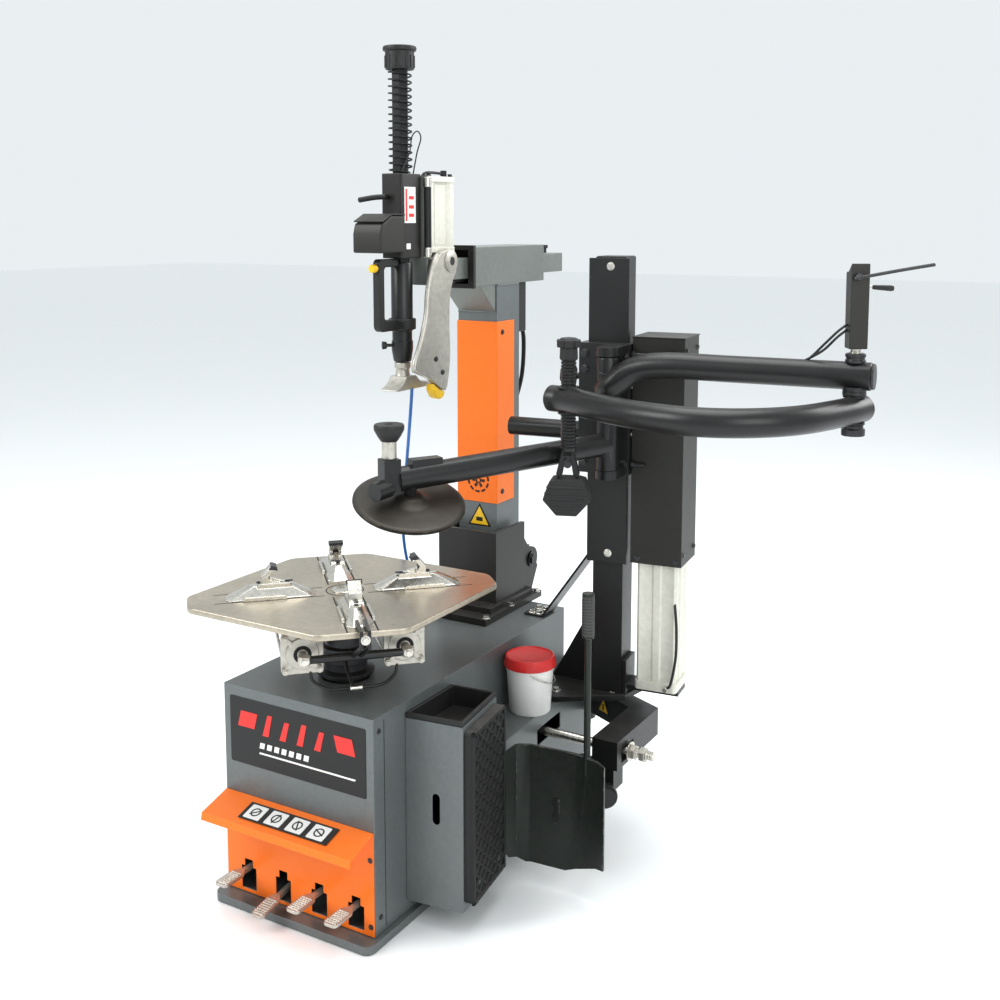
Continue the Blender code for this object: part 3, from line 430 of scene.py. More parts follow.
GREY = Finish("cabinet_paint", "cabinet_grey", (0.150, 0.165, 0.165), Grain.SATIN, 0.25, 0.36, reach=0.66)
BOX_GREY = Finish("machined_grey", "cabinet_grey", (0.20, 0.215, 0.20), Grain.SATIN, 0.3, 0.34, reach=0.64)
ORANGE = Finish(
    "orange_paint", "safety_orange", (0.95, 0.185, 0.008), Grain.SATIN, 0.0, 0.38, (0.6, 0.3, 0.15), 0.68,
    0.25,
)
BLACK = Finish(
    "black_powder_coat", "powder_black", (0.011, 0.011, 0.011), Grain.POWDER, 0.0, 0.33, (0.20, 0.19, 0.18),
    0.62,
)
DARK_BASE = Finish(
    "black_base_coat", "powder_black", (0.013, 0.012, 0.010), Grain.SATIN, 0.0, 0.36, (0.16, 0.15, 0.13),
    0.60,
)
COVER = Finish(
    "olive_black_sheet", "powder_black", (0.020, 0.020, 0.016), Grain.POWDER, 0.1, 0.42, (0.15, 0.13, 0.1),
    0.66,
)
DISC = Finish(
    "brown_black_disc", "powder_black", (0.040, 0.034, 0.026), Grain.SATIN, 0.45, 0.40, (0.30, 0.27, 0.22),
    0.55,
)
BLADE = Finish(
    "blade_steel", "powder_black", (0.022, 0.027, 0.022), Grain.CAST, 0.35, 0.36, (0.42, 0.42, 0.38), 0.50,
    0.9,
)
PLASTIC = Finish(
    "black_moulding", "black_plastic", (0.016, 0.016, 0.016), Grain.MOULDED, 0.0, 0.48, (0.06, 0.06, 0.06),
    0.62,
)
GRIP = Finish(
    "grey_grip_rubber", "black_plastic", (0.06, 0.06, 0.058), Grain.MOULDED, 0.0, 0.60, (0.10, 0.10, 0.10),
    0.6,
)
RUBBER = Finish(
    "pad_rubber", "rubber", (0.012, 0.012, 0.012), Grain.MOULDED, 0.0, 0.62, (0.05, 0.05, 0.05), 0.55,
    dust=0.3,
)
CAST = Finish(
    "cast_alloy", "cast_aluminium", (0.50, 0.48, 0.43), Grain.CAST, 0.75, 0.40, (0.75, 0.73, 0.68), 0.45,
    0.9,
)
PALE = Finish(
    "pale_extrusion", "cast_aluminium", (0.66, 0.65, 0.58), Grain.SATIN, 0.25, 0.42, (0.8, 0.79, 0.74),
    0.55,
)
PLATE = Finish(
    "turned_steel", "bright_steel", (0.46, 0.415, 0.34), Grain.BRUSHED, 0.85, 0.34, (0.78, 0.75, 0.68),
    0.40, 0.9, 0.02,
)
BRIGHT = Finish(
    "ground_steel", "bright_steel", (0.60, 0.58, 0.53), Grain.BRUSHED, 0.95, 0.26, (0.85, 0.84, 0.80), 0.45,
    0.8, 0.02,
)
STEEL = Finish(
    "dark_steel_oiled", "dark_steel", (0.060, 0.060, 0.062), Grain.SATIN, 0.7, 0.36, (0.3, 0.3, 0.3), 0.55,
)
SPRING = Finish(
    "spring_black", "dark_steel", (0.014, 0.014, 0.015), Grain.SATIN, 0.3, 0.38, (0.12, 0.12, 0.12), 0.6,
)
WHITE = Finish(
    "bucket_white", "paste_white", (0.82, 0.81, 0.78), Grain.MOULDED, 0.0, 0.35, (0.9, 0.9, 0.88), 0.7,
    0.12,
)
RED = Finish(
    "lid_red", "paste_white", (0.62, 0.030, 0.028), Grain.MOULDED, 0.0, 0.35, (0.75, 0.15, 0.13), 0.7, 0.3,
)
YELLOW = Finish(
    "button_yellow", "signal_yellow", (0.85, 0.52, 0.02), Grain.MOULDED, 0.0, 0.36, (0.9, 0.65, 0.2), 0.7,
    0.3,
)
BLUE = Finish(
    "hose_blue_tube", "hose_blue", (0.030, 0.15, 0.42), Grain.MOULDED, 0.0, 0.30, (0.1, 0.3, 0.6), 0.8, 0.3,
    coat=0.4,
)
HOSE = Finish(
    "hose_black_tube", "black_plastic", (0.014, 0.014, 0.014), Grain.MOULDED, 0.0, 0.35, (0.06, 0.06, 0.06),
    0.8, 0.3,
)
INK = Finish(
    "panel_black", "powder_black", (0.008, 0.008, 0.008), Grain.SATIN, 0.0, 0.40, (0.05, 0.05, 0.05), 0.9,
    0.2,
)
PRINT_RED = Finish(
    "print_red", "safety_orange", (0.70, 0.035, 0.030), Grain.SATIN, 0.0, 0.42, (0.7, 0.1, 0.1), 0.9, 0.15,
)
PRINT_WHITE = Finish(
    "print_white", "paste_white", (0.78, 0.78, 0.76), Grain.SATIN, 0.0, 0.42, (0.8, 0.8, 0.8), 0.9, 0.12,
)
SHADOW = Finish(
    "slot_shadow", "powder_black", (0.006, 0.006, 0.006), Grain.SATIN, 0.0, 0.7, (0.02, 0.02, 0.02), 0.9,
    0.2,
)


# ---- shapes ----------------------------------------------------------------------------------


def box(lo: Point, hi: Point) -> Shape:
    """A block between two corners.

    Args:
        lo: the lowest corner.
        hi: the highest corner.

    Returns:
        The closed shape.
    """
    shape = bmesh.new()
    bmesh.ops.create_cube(shape, size=1)
    bmesh.ops.scale(shape, vec=Vector(hi) - Vector(lo), verts=shape.verts)
    bmesh.ops.translate(shape, vec=(Vector(lo) + Vector(hi)) / 2, verts=shape.verts)
    return shape


def prism(outline: Sequence[Point], axis: str, lo: float, hi: float) -> Shape:
    """An outline extruded along an axis.

    Args:
        outline: (x, y) points for z, (x, z) points for y, (y, z) points for x.
        axis: "x", "y" or "z".
        lo: where it starts along the axis.
        hi: where it ends.

    Returns:
        The closed shape.
    """
    order = {
        "z": lambda u, v, w: (u, v, w), "y": lambda u, v, w: (u, w, v), "x": lambda u, v, w: (w, u, v),
    }[axis]
    shape = bmesh.new()
    ends = [[shape.verts.new(order(u, v, w)) for u, v in outline] for w in (lo, hi)]
    for i in range(len(outline)):
        j = (i + 1) % len(outline)
        shape.faces.new((ends[0][i], ends[0][j], ends[1][j], ends[1][i]))
    shape.faces.new(reversed(ends[0]))
    shape.faces.new(ends[1])
    bmesh.ops.recalc_face_normals(shape, faces=shape.faces)
    return shape


def turned(profile: Sequence[Point], place: Matrix, sides: int = 48) -> Shape:
    """(radius, height) points turned about the Z axis of a placing matrix.

    Args:
        profile: (radius, height) points, from foot to top.
        place: where the axis stands.
        sides: points round each ring.

    Returns:
        The closed shape.
    """
    shape = bmesh.new()
    rings = []
    for radius, height in profile:
        if radius == 0:
            rings.append([shape.verts.new((0, 0, height))])
            continue
        turns = [2 * math.pi * k / sides for k in range(sides)]
        rings.append([shape.verts.new((radius * math.cos(a), radius * math.sin(a), height)) for a in turns])
    for low, high in zip(rings, rings[1:]):
        for k in range(sides):
            m = (k + 1) % sides
            corners = [low[k % len(low)], low[m % len(low)], high[m % len(high)], high[k % len(high)]]
            shape.faces.new(list(dict.fromkeys(corners)))
    bmesh.ops.recalc_face_normals(shape, faces=shape.faces)
    bmesh.ops.transform(shape, matrix=place, verts=shape.verts)
    return shape


def ring_profile(inner: float, outer: float, lo: float, hi: float) -> Outline:
    """The turned profile of a ring.

    Args:
        inner: inner radius.
        outer: outer radius.
        lo: height of its foot.
        hi: height of its top.

    Returns:
        The closed profile.
    """
    return [(inner, lo), (outer, lo), (outer, hi), (inner, hi), (inner, lo)]


def drum_profile(radius: float, lo: float, hi: float) -> Outline:
    """The turned profile of a plain round block.

    Args:
        radius: its radius.
        lo: height of its foot.
        hi: height of its top.

    Returns:
        The profile, from axis to axis.
    """
    return [(0, lo), (radius, lo), (radius, hi), (0, hi)]


def way(turn: Matrix, x: float, y: float, z: float) -> Vector:
    """A direction turned by a placing matrix.

    Args:
        turn: the matrix, whose move is left out.
        x: the direction's share along X.
        y: its share along Y.
        z: its share along Z.

    Returns:
        The turned direction.
    """
    return turn.to_3x3() @ Vector((x, y, z))


def aimed(start: Point, end: Point) -> Matrix:
    """A frame at start whose Z axis points at end.

    Args:
        start: the frame's origin.
        end: the point its Z axis faces.

    Returns:
        The placing matrix.
    """
    start, along = Vector(start), Vector(end) - Vector(start)
    return Matrix.Translation(start) @ Vector((0, 0, 1)).rotation_difference(along).to_matrix().to_4x4()


def rod(start: Point, end: Point, radius: float, sides: int = 40) -> Shape:
    """A round bar with slightly broken edges.

    Args:
        start: centre of one end.
        end: centre of the other end.
        radius: the bar's radius.
        sides: points round it.

    Returns:
        The closed shape.
    """
    length = (Vector(end) - Vector(start)).length
    edge = min(0.0015, radius * 0.2)
    profile = [
        (0, 0), (radius - edge, 0), (radius, edge), (radius, length - edge), (radius - edge, length),
        (0, length),
    ]
    return turned(profile, aimed(start, end), sides)


def smooth_route(points: Iterable[Point], steps: int) -> list[Vector]:
    """Points on a smooth curve through the given ones.

    Args:
        points: points the curve passes through.
        steps: points made for each gap.

    Returns:
        The curve's points, both ends included.
    """
    points = [Vector(p) for p in points]
    ends = [2 * points[0] - points[1]] + points + [2 * points[-1] - points[-2]]
    route = []
    for a, b, c, d in zip(ends, ends[1:], ends[2:], ends[3:]):
        for k in range(steps):
            t = k / steps
            curve = 2 * b + (c - a) * t
            curve += (2 * a - 5 * b + 4 * c - d) * t**2
            curve += (3 * b - a - 3 * c + d) * t**3
            route.append(0.5 * curve)
    return route + [points[-1]]


def bent_tube(
    points: Iterable[Point], radius: float, steps: int = 10, sides: int = 36, edge: float = 0.0,
) -> Shape:
    """A tube along a smooth route.

    Args:
        points: the route's own points.
        radius: outer radius.
        steps: rings between two of the points.
        sides: points round each ring.
        edge: how far its two ends are rounded in.

    Returns:
        The closed shape.
    """
    route = smooth_route(points, steps)
    shape = bmesh.new()
    rings = []
    side = None
    last = len(route) - 1
    stations = [(i, centre, radius) for i, centre in enumerate(route)]
    if edge:
        first_way = (route[1] - route[0]).normalized()
        last_way = (route[-1] - route[-2]).normalized()
        stations = [
            (0, route[0] - first_way * edge, radius - edge), *stations,
            (last, route[-1] + last_way * edge, radius - edge),
        ]
    for i, centre, size in stations:
        along = (route[min(i + 1, last)] - route[max(i - 1, 0)]).normalized()
        if side is None:
            side = along.cross(Vector((0, 0, 1)))
            side = side if side.length > 0.1 else along.cross(Vector((1, 0, 0)))
        side = (side - along * side.dot(along)).normalized()
        up = along.cross(side)
        turns = [2 * math.pi * k / sides for k in range(sides)]
        rings.append(
            [shape.verts.new(centre + size * (side * math.cos(a) + up * math.sin(a))) for a in turns]
        )
    for low, high in zip(rings, rings[1:]):
        for k in range(sides):
            m = (k + 1) % sides
            shape.faces.new((low[k], low[m], high[m], high[k]))
    shape.faces.new(reversed(rings[0]))
    shape.faces.new(rings[-1])
    bmesh.ops.recalc_face_normals(shape, faces=shape.faces)
    return shape


def placed(shape: Shape, matrix: Matrix) -> Shape:
    """The same shape, moved by a matrix.

    Args:
        shape: the shape, which is changed.
        matrix: the move.

    Returns:
        The shape.
    """
    bmesh.ops.transform(shape, matrix=matrix, verts=shape.verts)
    return shape


def arc(centre: Point, radius: float, start: float, end: float, count: int) -> Outline:
    """Points on an arc, angles in degrees.

    Args:
        centre: the arc's centre.
        radius: its radius.
        start: angle of its first point in degrees.
        end: angle of its last point in degrees.
        count: how many points.

    Returns:
        The points.
    """
    turns = [math.radians(start + (end - start) * k / (count - 1)) for k in range(count)]
    return [(centre[0] + radius * math.cos(a), centre[1] + radius * math.sin(a)) for a in turns]


def rounded(lo: Point, hi: Point, radius: float, count: int = 6) -> Outline:
    """A rectangle with rounded corners, as an outline.

    Args:
        lo: its lowest corner.
        hi: its highest corner.
        radius: radius of its corners.
        count: points on each corner.

    Returns:
        The outline.
    """
    (x0, y0), (x1, y1) = lo, hi
    points = arc((x1 - radius, y1 - radius), radius, 0, 90, count)
    points += arc((x0 + radius, y1 - radius), radius, 90, 180, count)
    points += arc((x0 + radius, y0 + radius), radius, 180, 270, count)
    points += arc((x1 - radius, y0 + radius), radius, 270, 360, count)
    return points


def lobed(lobes: int, outer: float, inner: float, count: int = 72) -> Outline:
    """The outline of a hand knob with scalloped sides.

    Args:
        lobes: how many lobes.
        outer: radius at a lobe.
        inner: radius between lobes.
        count: how many points.

    Returns:
        The outline.
    """
    points = []
    for k in range(count):
        a = 2 * math.pi * k / count
        radius = inner + (outer - inner) * abs(math.cos(lobes * a / 2)) ** 0.6
        points.append((radius * math.cos(a), radius * math.sin(a)))
    return points


# ---- repeated shapes by geometry nodes -------------------------------------------------------


class Repeater:
    """Geometry node trees that make what repeats, each baked to a plain mesh."""

    def __init__(self) -> None:
        """Builds the trees once."""
        self.bolts = self.bolt_tree()
        self.coil = self.coil_tree()
        self.bars = self.bar_tree()

    @staticmethod
    def start(name: str, inputs: dict[str, str]) -> Tree:
        """A geometry tree with a geometry input, named inputs, a material input and a geometry output.

        Args:
            name: the tree's name.
            inputs: the named inputs and their socket types.

        Returns:
            The tree, holding only its input and output nodes.
        """
        tree = bpy.data.node_groups.new(name, "GeometryNodeTree")
        tree.interface.new_socket("Geometry", in_out="INPUT", socket_type="NodeSocketGeometry")
        for label, kind in inputs.items():
            tree.interface.new_socket(label, in_out="INPUT", socket_type=kind)
        tree.interface.new_socket("Material", in_out="INPUT", socket_type="NodeSocketMaterial")
        tree.interface.new_socket("Geometry", in_out="OUTPUT", socket_type="NodeSocketGeometry")
        tree.nodes.new("NodeGroupInput")
        tree.nodes.new("NodeGroupOutput")
        return tree

    @staticmethod
    def close(tree: Tree, shape: Socket, smooth: bool) -> None:
        """Ends a tree in Realize Instances, its shading and Set Material.

        Args:
            tree: the tree to end.
            shape: the geometry it makes.
            smooth: whether its faces are shaded smooth.
        """
        source, sink = tree.nodes["Group Input"], tree.nodes["Group Output"]
        realize = tree.nodes.new("GeometryNodeRealizeInstances")
        shade = tree.nodes.new("GeometryNodeSetShadeSmooth")
        shade.inputs["Shade Smooth"].default_value = smooth
        paint = tree.nodes.new("GeometryNodeSetMaterial")
        tree.links.new(shape, realize.inputs[0])
        tree.links.new(realize.outputs[0], shade.inputs[0])
        tree.links.new(shade.outputs[0], paint.inputs["Geometry"])
        tree.links.new(source.outputs["Material"], paint.inputs["Material"])
        tree.links.new(paint.outputs[0], sink.inputs[0])

    def bolt_tree(self) -> Tree:
        """A hexagon head on a washer at every point, turned along the point's aim."""
        tree = self.start(
            "Bolt Heads",
            {"Radius": "NodeSocketFloat", "Height": "NodeSocketFloat", "Sides": "NodeSocketInt"},
        )
        nodes, links = tree.nodes, tree.links
        source = nodes["Group Input"]
        head, washer = nodes.new("GeometryNodeMeshCylinder"), nodes.new("GeometryNodeMeshCylinder")
        washer.inputs["Vertices"].default_value = 20
        links.new(source.outputs["Sides"], head.inputs["Vertices"])
        links.new(source.outputs["Radius"], head.inputs["Radius"])
        links.new(source.outputs["Height"], head.inputs["Depth"])
        links.new(math_node(tree, "MULTIPLY", source.outputs["Radius"], 1.4), washer.inputs["Radius"])
        links.new(math_node(tree, "MULTIPLY", source.outputs["Height"], 0.3), washer.inputs["Depth"])
        lift, shift = nodes.new("ShaderNodeCombineXYZ"), nodes.new("GeometryNodeTransform")
        links.new(math_node(tree, "MULTIPLY", source.outputs["Height"], 0.5), lift.inputs[2])
        links.new(head.outputs["Mesh"], shift.inputs["Geometry"])
        links.new(lift.outputs[0], shift.inputs["Translation"])
        join = nodes.new("GeometryNodeJoinGeometry")
        links.new(shift.outputs[0], join.inputs[0])
        links.new(washer.outputs["Mesh"], join.inputs[0])
        aim = nodes.new("GeometryNodeInputNamedAttribute")
        aim.data_type = "FLOAT_VECTOR"
        aim.inputs["Name"].default_value = "aim"
        align = nodes.new("FunctionNodeAlignRotationToVector")
        align.axis = "Z"
        links.new(aim.outputs[0], align.inputs["Vector"])
        instance = nodes.new("GeometryNodeInstanceOnPoints")
        links.new(source.outputs["Geometry"], instance.inputs["Points"])
        links.new(join.outputs[0], instance.inputs["Instance"])
        links.new(align.outputs[0], instance.inputs["Rotation"])
        self.close(tree, instance.outputs[0], False)
        return tree

    def coil_tree(self) -> Tree:
        """A wound wire standing on the origin."""
        sizes = {
            "Turns": "NodeSocketFloat", "Radius": "NodeSocketFloat", "Height": "NodeSocketFloat",
            "Wire": "NodeSocketFloat",
        }
        tree = self.start("Wound Wire", sizes)
        nodes, links = tree.nodes, tree.links
        source = nodes["Group Input"]
        spiral, ring = nodes.new("GeometryNodeCurveSpiral"), nodes.new("GeometryNodeCurvePrimitiveCircle")
        spiral.inputs["Resolution"].default_value = 28
        ring.inputs["Resolution"].default_value = 10
        links.new(source.outputs["Turns"], spiral.inputs["Rotations"])
        links.new(source.outputs["Radius"], spiral.inputs["Start Radius"])
        links.new(source.outputs["Radius"], spiral.inputs["End Radius"])
        links.new(source.outputs["Height"], spiral.inputs["Height"])
        links.new(source.outputs["Wire"], ring.inputs["Radius"])
        sweep = nodes.new("GeometryNodeCurveToMesh")
        sweep.inputs["Fill Caps"].default_value = True
        links.new(spiral.outputs[0], sweep.inputs["Curve"])
        links.new(ring.outputs[0], sweep.inputs["Profile Curve"])
        self.close(tree, sweep.outputs[0], True)
        return tree

    def bar_tree(self) -> Tree:
        """A row of equal bars, each turned by the same angle, starting at the origin."""
        sizes = {
            "Count": "NodeSocketInt", "Step": "NodeSocketVector", "Size": "NodeSocketVector",
            "Turn": "NodeSocketRotation",
        }
        tree = self.start("Bar Row", sizes)
        nodes, links = tree.nodes, tree.links
        source = nodes["Group Input"]
        line, cube = nodes.new("GeometryNodeMeshLine"), nodes.new("GeometryNodeMeshCube")
        links.new(source.outputs["Count"], line.inputs["Count"])
        links.new(source.outputs["Step"], line.inputs["Offset"])
        links.new(source.outputs["Size"], cube.inputs["Size"])
        instance = nodes.new("GeometryNodeInstanceOnPoints")
        links.new(line.outputs[0], instance.inputs["Points"])
        links.new(cube.outputs["Mesh"], instance.inputs["Instance"])
        links.new(source.outputs["Turn"], instance.inputs["Rotation"])
        self.close(tree, instance.outputs[0], False)
        return tree

    @staticmethod
    def bake(tree: Tree, mesh: bpy.types.Mesh, values: dict[str, object]) -> bpy.types.Mesh:
        """Runs a tree on a mesh.

        Args:
            tree: the geometry tree.
            mesh: its input mesh.
            values: the tree's inputs by name.

        Returns:
            The result as a plain mesh.
        """
        holder = bpy.data.objects.new("repeat_holder", mesh)
        bpy.context.scene.collection.objects.link(holder)
        modifier = holder.modifiers.new("repeat", "NODES")
        modifier.node_group = tree
        for item in tree.interface.items_tree:
            if item.in_out == "INPUT" and item.name in values:
                modifier[item.identifier] = values[item.name]
        graph = bpy.context.evaluated_depsgraph_get()
        graph.update()
        result = bpy.data.meshes.new_from_object(holder.evaluated_get(graph))
        bpy.data.objects.remove(holder, do_unlink=True)
        return result


# ---- assemblies ------------------------------------------------------------------------------


@dataclass
class Workshop:
    """Everything the assemblies share."""

    effects: SharedEffects = field(default_factory=SharedEffects)
    repeat: Repeater = field(default_factory=Repeater)

    def paint(self, finish: Finish) -> bpy.types.Material:
        """The material of a finish.

        Args:
            finish: the finish.

        Returns:
            Its material.
        """
        return finish.material(self.effects)

    def register(
        self, mesh: bpy.types.Mesh, name: str, finish: Finish, body: str, replaces: Iterable[str],
    ) -> Piece:
        """Makes a finished mesh a piece of the machine.

        Args:
            mesh: the finished mesh, in the row frame.
            name: the piece's name.
            finish: its finish.
            body: the CAD body it moves with.
            replaces: the CAD nodes it stands for.

        Returns:
            The piece.
        """
        mesh.name = name
        mesh.materials.clear()
        mesh.materials.append(self.paint(finish))
        piece = bpy.data.objects.new(name, mesh)
        bpy.context.scene.collection.objects.link(piece)
        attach(piece, body)
        if replaces:
            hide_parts(*replaces)
        LOG.info("%s on %s: %d faces", name, body, len(mesh.polygons))
        return piece

    def add(
        self,
        name: str,
        shapes: Sequence[Shape],
        finish: Finish,
        body: str,
        replaces: Iterable[str] = (),
        edge: float = 0.0,
        sharp: float = 35.0,
    ) -> Piece:
        """Joins shapes into one piece, breaks its edges and shades it smooth.

        Args:
            name: the piece's name.
            shapes: closed shapes in the row frame.
            finish: its finish.
            body: the CAD body it moves with.
            replaces: the CAD nodes it stands for.
            edge: width of the rounding on its edges.
            sharp: angle in degrees above which an edge stays sharp.

        Returns:
            The piece.
        """
        joined = bmesh.new()
        for shape in shapes:
            part = bpy.data.meshes.new("part")
            shape.to_mesh(part)
            shape.free()
            joined.from_mesh(part)
            bpy.data.meshes.remove(part)
        mesh = bpy.data.meshes.new(name)
        joined.to_mesh(mesh)
        joined.free()
        return self.register(self.softened(mesh, edge, sharp), name, finish, body, replaces)

    @staticmethod
    def softened(mesh: bpy.types.Mesh, edge: float, sharp: float) -> bpy.types.Mesh:
        """A mesh with rounded edges and smooth curved faces.

        Args:
            mesh: the plain mesh.
            edge: width of the rounding, or 0 for none.
            sharp: angle in degrees above which an edge stays sharp.

        Returns:
            The softened mesh.
        """
        mesh.shade_smooth()
        mesh.set_sharp_from_angle(angle=math.radians(sharp))
        if not edge:
            return mesh
        holder = bpy.data.objects.new("soften_holder", mesh)
        bpy.context.scene.collection.objects.link(holder)
        bevel = holder.modifiers.new("edge", "BEVEL")
        bevel.width = edge
        bevel.segments = 2
        bevel.limit_method = "ANGLE"
        bevel.angle_limit = math.radians(sharp)
        bevel.use_clamp_overlap = True
        weighted = holder.modifiers.new("weighted", "WEIGHTED_NORMAL")
        weighted.keep_sharp = False
        graph = bpy.context.evaluated_depsgraph_get()
        graph.update()
        result = bpy.data.meshes.new_from_object(holder.evaluated_get(graph))
        bpy.data.objects.remove(holder, do_unlink=True)
        return result

    def dress(self, node: str, finish: Finish, edge: float = 0.0012, sharp: float = 35.0) -> Piece:
        """Shows a CAD node as a merged copy with rounded edges and its finish.

        Args:
            node: the CAD node.
            finish: its finish.
            edge: width of the rounding on its edges.
            sharp: angle in degrees above which an edge stays sharp.

        Returns:
            The piece that stands for the node.
        """
        source = frame["nodes"][node]
        shape = bmesh.new()
        shape.from_mesh(source.data)
        bmesh.ops.remove_doubles(shape, verts=shape.verts, dist=MERGE_DISTANCE)
        bmesh.ops.dissolve_limit(shape, angle_limit=FLAT_ANGLE, verts=shape.verts, edges=shape.edges)
        body = source["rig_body"]
        return self.add(f"{node}_skin", [shape], finish, body, [node], edge, sharp)

    def bolts(
        self,
        name: str,
        places: Sequence[tuple[Point, Point]],
        finish: Finish,
        body: str,
        radius: float = 0.006,
        height: float = 0.005,
        sides: int = 6,
    ) -> Piece:
        """Bolt heads at points, each along its own direction.

        Args:
            name: the piece's name.
            places: a point and a direction for each head.
            finish: its finish.
            body: the CAD body it moves with.
            radius: a head's radius.
            height: a head's height.
            sides: a head's sides.

        Returns:
            The piece.
        """
        mesh = bpy.data.meshes.new(name)
        mesh.from_pydata([tuple(at) for at, _ in places], [], [])
        aim = mesh.attributes.new("aim", "FLOAT_VECTOR", "POINT")
        for item, (_, faced) in zip(aim.data, places):
            item.vector = Vector(faced).normalized()
        values = {"Radius": radius, "Height": height, "Sides": sides, "Material": self.paint(finish)}
        return self.register(self.repeat.bake(self.repeat.bolts, mesh, values), name, finish, body, ())

    def coil(
        self, name: str, base: Point, turns: float, radius: float, height: float, wire: float,
        finish: Finish, body: str, replaces: Iterable[str] = (),
    ) -> Piece:
        """A wound spring standing on a point.

        Args:
            name: the piece's name.
            base: centre of its foot.
            turns: how many turns it has.
            radius: radius of its turns.
            height: from its first turn to its last.
            wire: radius of the wire.
            finish: its finish.
            body: the CAD body it moves with.
            replaces: the CAD nodes it stands for.

        Returns:
            The piece.
        """
        empty = bpy.data.meshes.new(name)
        values = {
            "Turns": turns, "Radius": radius, "Height": height, "Wire": wire,
            "Material": self.paint(finish),
        }
        mesh = self.repeat.bake(self.repeat.coil, empty, values)
        mesh.transform(Matrix.Translation(Vector(base)))
        return self.register(mesh, name, finish, body, replaces)

    def bars(self, count: int, step: Point, size: Point, turn: Point, place: Matrix) -> Shape:
        """A row of equal bars as a shape.

        Args:
            count: how many bars.
            step: from one bar to the next.
            size: a bar's three sides.
            turn: a bar's own turn, in radians about X, Y and Z.
            place: where the row starts.

        Returns:
            The bars, as one shape.
        """
        empty = bpy.data.meshes.new("bars")
        values = {
            "Count": count, "Step": tuple(step), "Size": tuple(size), "Turn": tuple(turn),
            "Material": self.paint(PLASTIC),
        }
        mesh = self.repeat.bake(self.repeat.bars, empty, values)
        mesh.transform(place)
        shape = bmesh.new()
        shape.from_mesh(mesh)
        return shape


def clipped(shape: Shape, planes: Iterable[tuple[Point, Point]]) -> Shape:
    """A shape cut off outside planes, each a point and an outward normal, with its cuts closed.

    Args:
        shape: the shape, which is changed.
        planes: a point and an outward normal for each plane.

    Returns:
        The shape.
    """
    for point, normal in planes:
        geometry = [*shape.verts, *shape.edges, *shape.faces]
        cut = bmesh.ops.bisect_plane(
            shape, geom=geometry, plane_co=point, plane_no=normal, clear_outer=True,
        )
        rim = [e for e in cut["geom_cut"] if isinstance(e, bmesh.types.BMEdge)]
        bmesh.ops.edgenet_fill(shape, edges=rim)
    bmesh.ops.recalc_face_normals(shape, faces=shape.faces)
    return shape


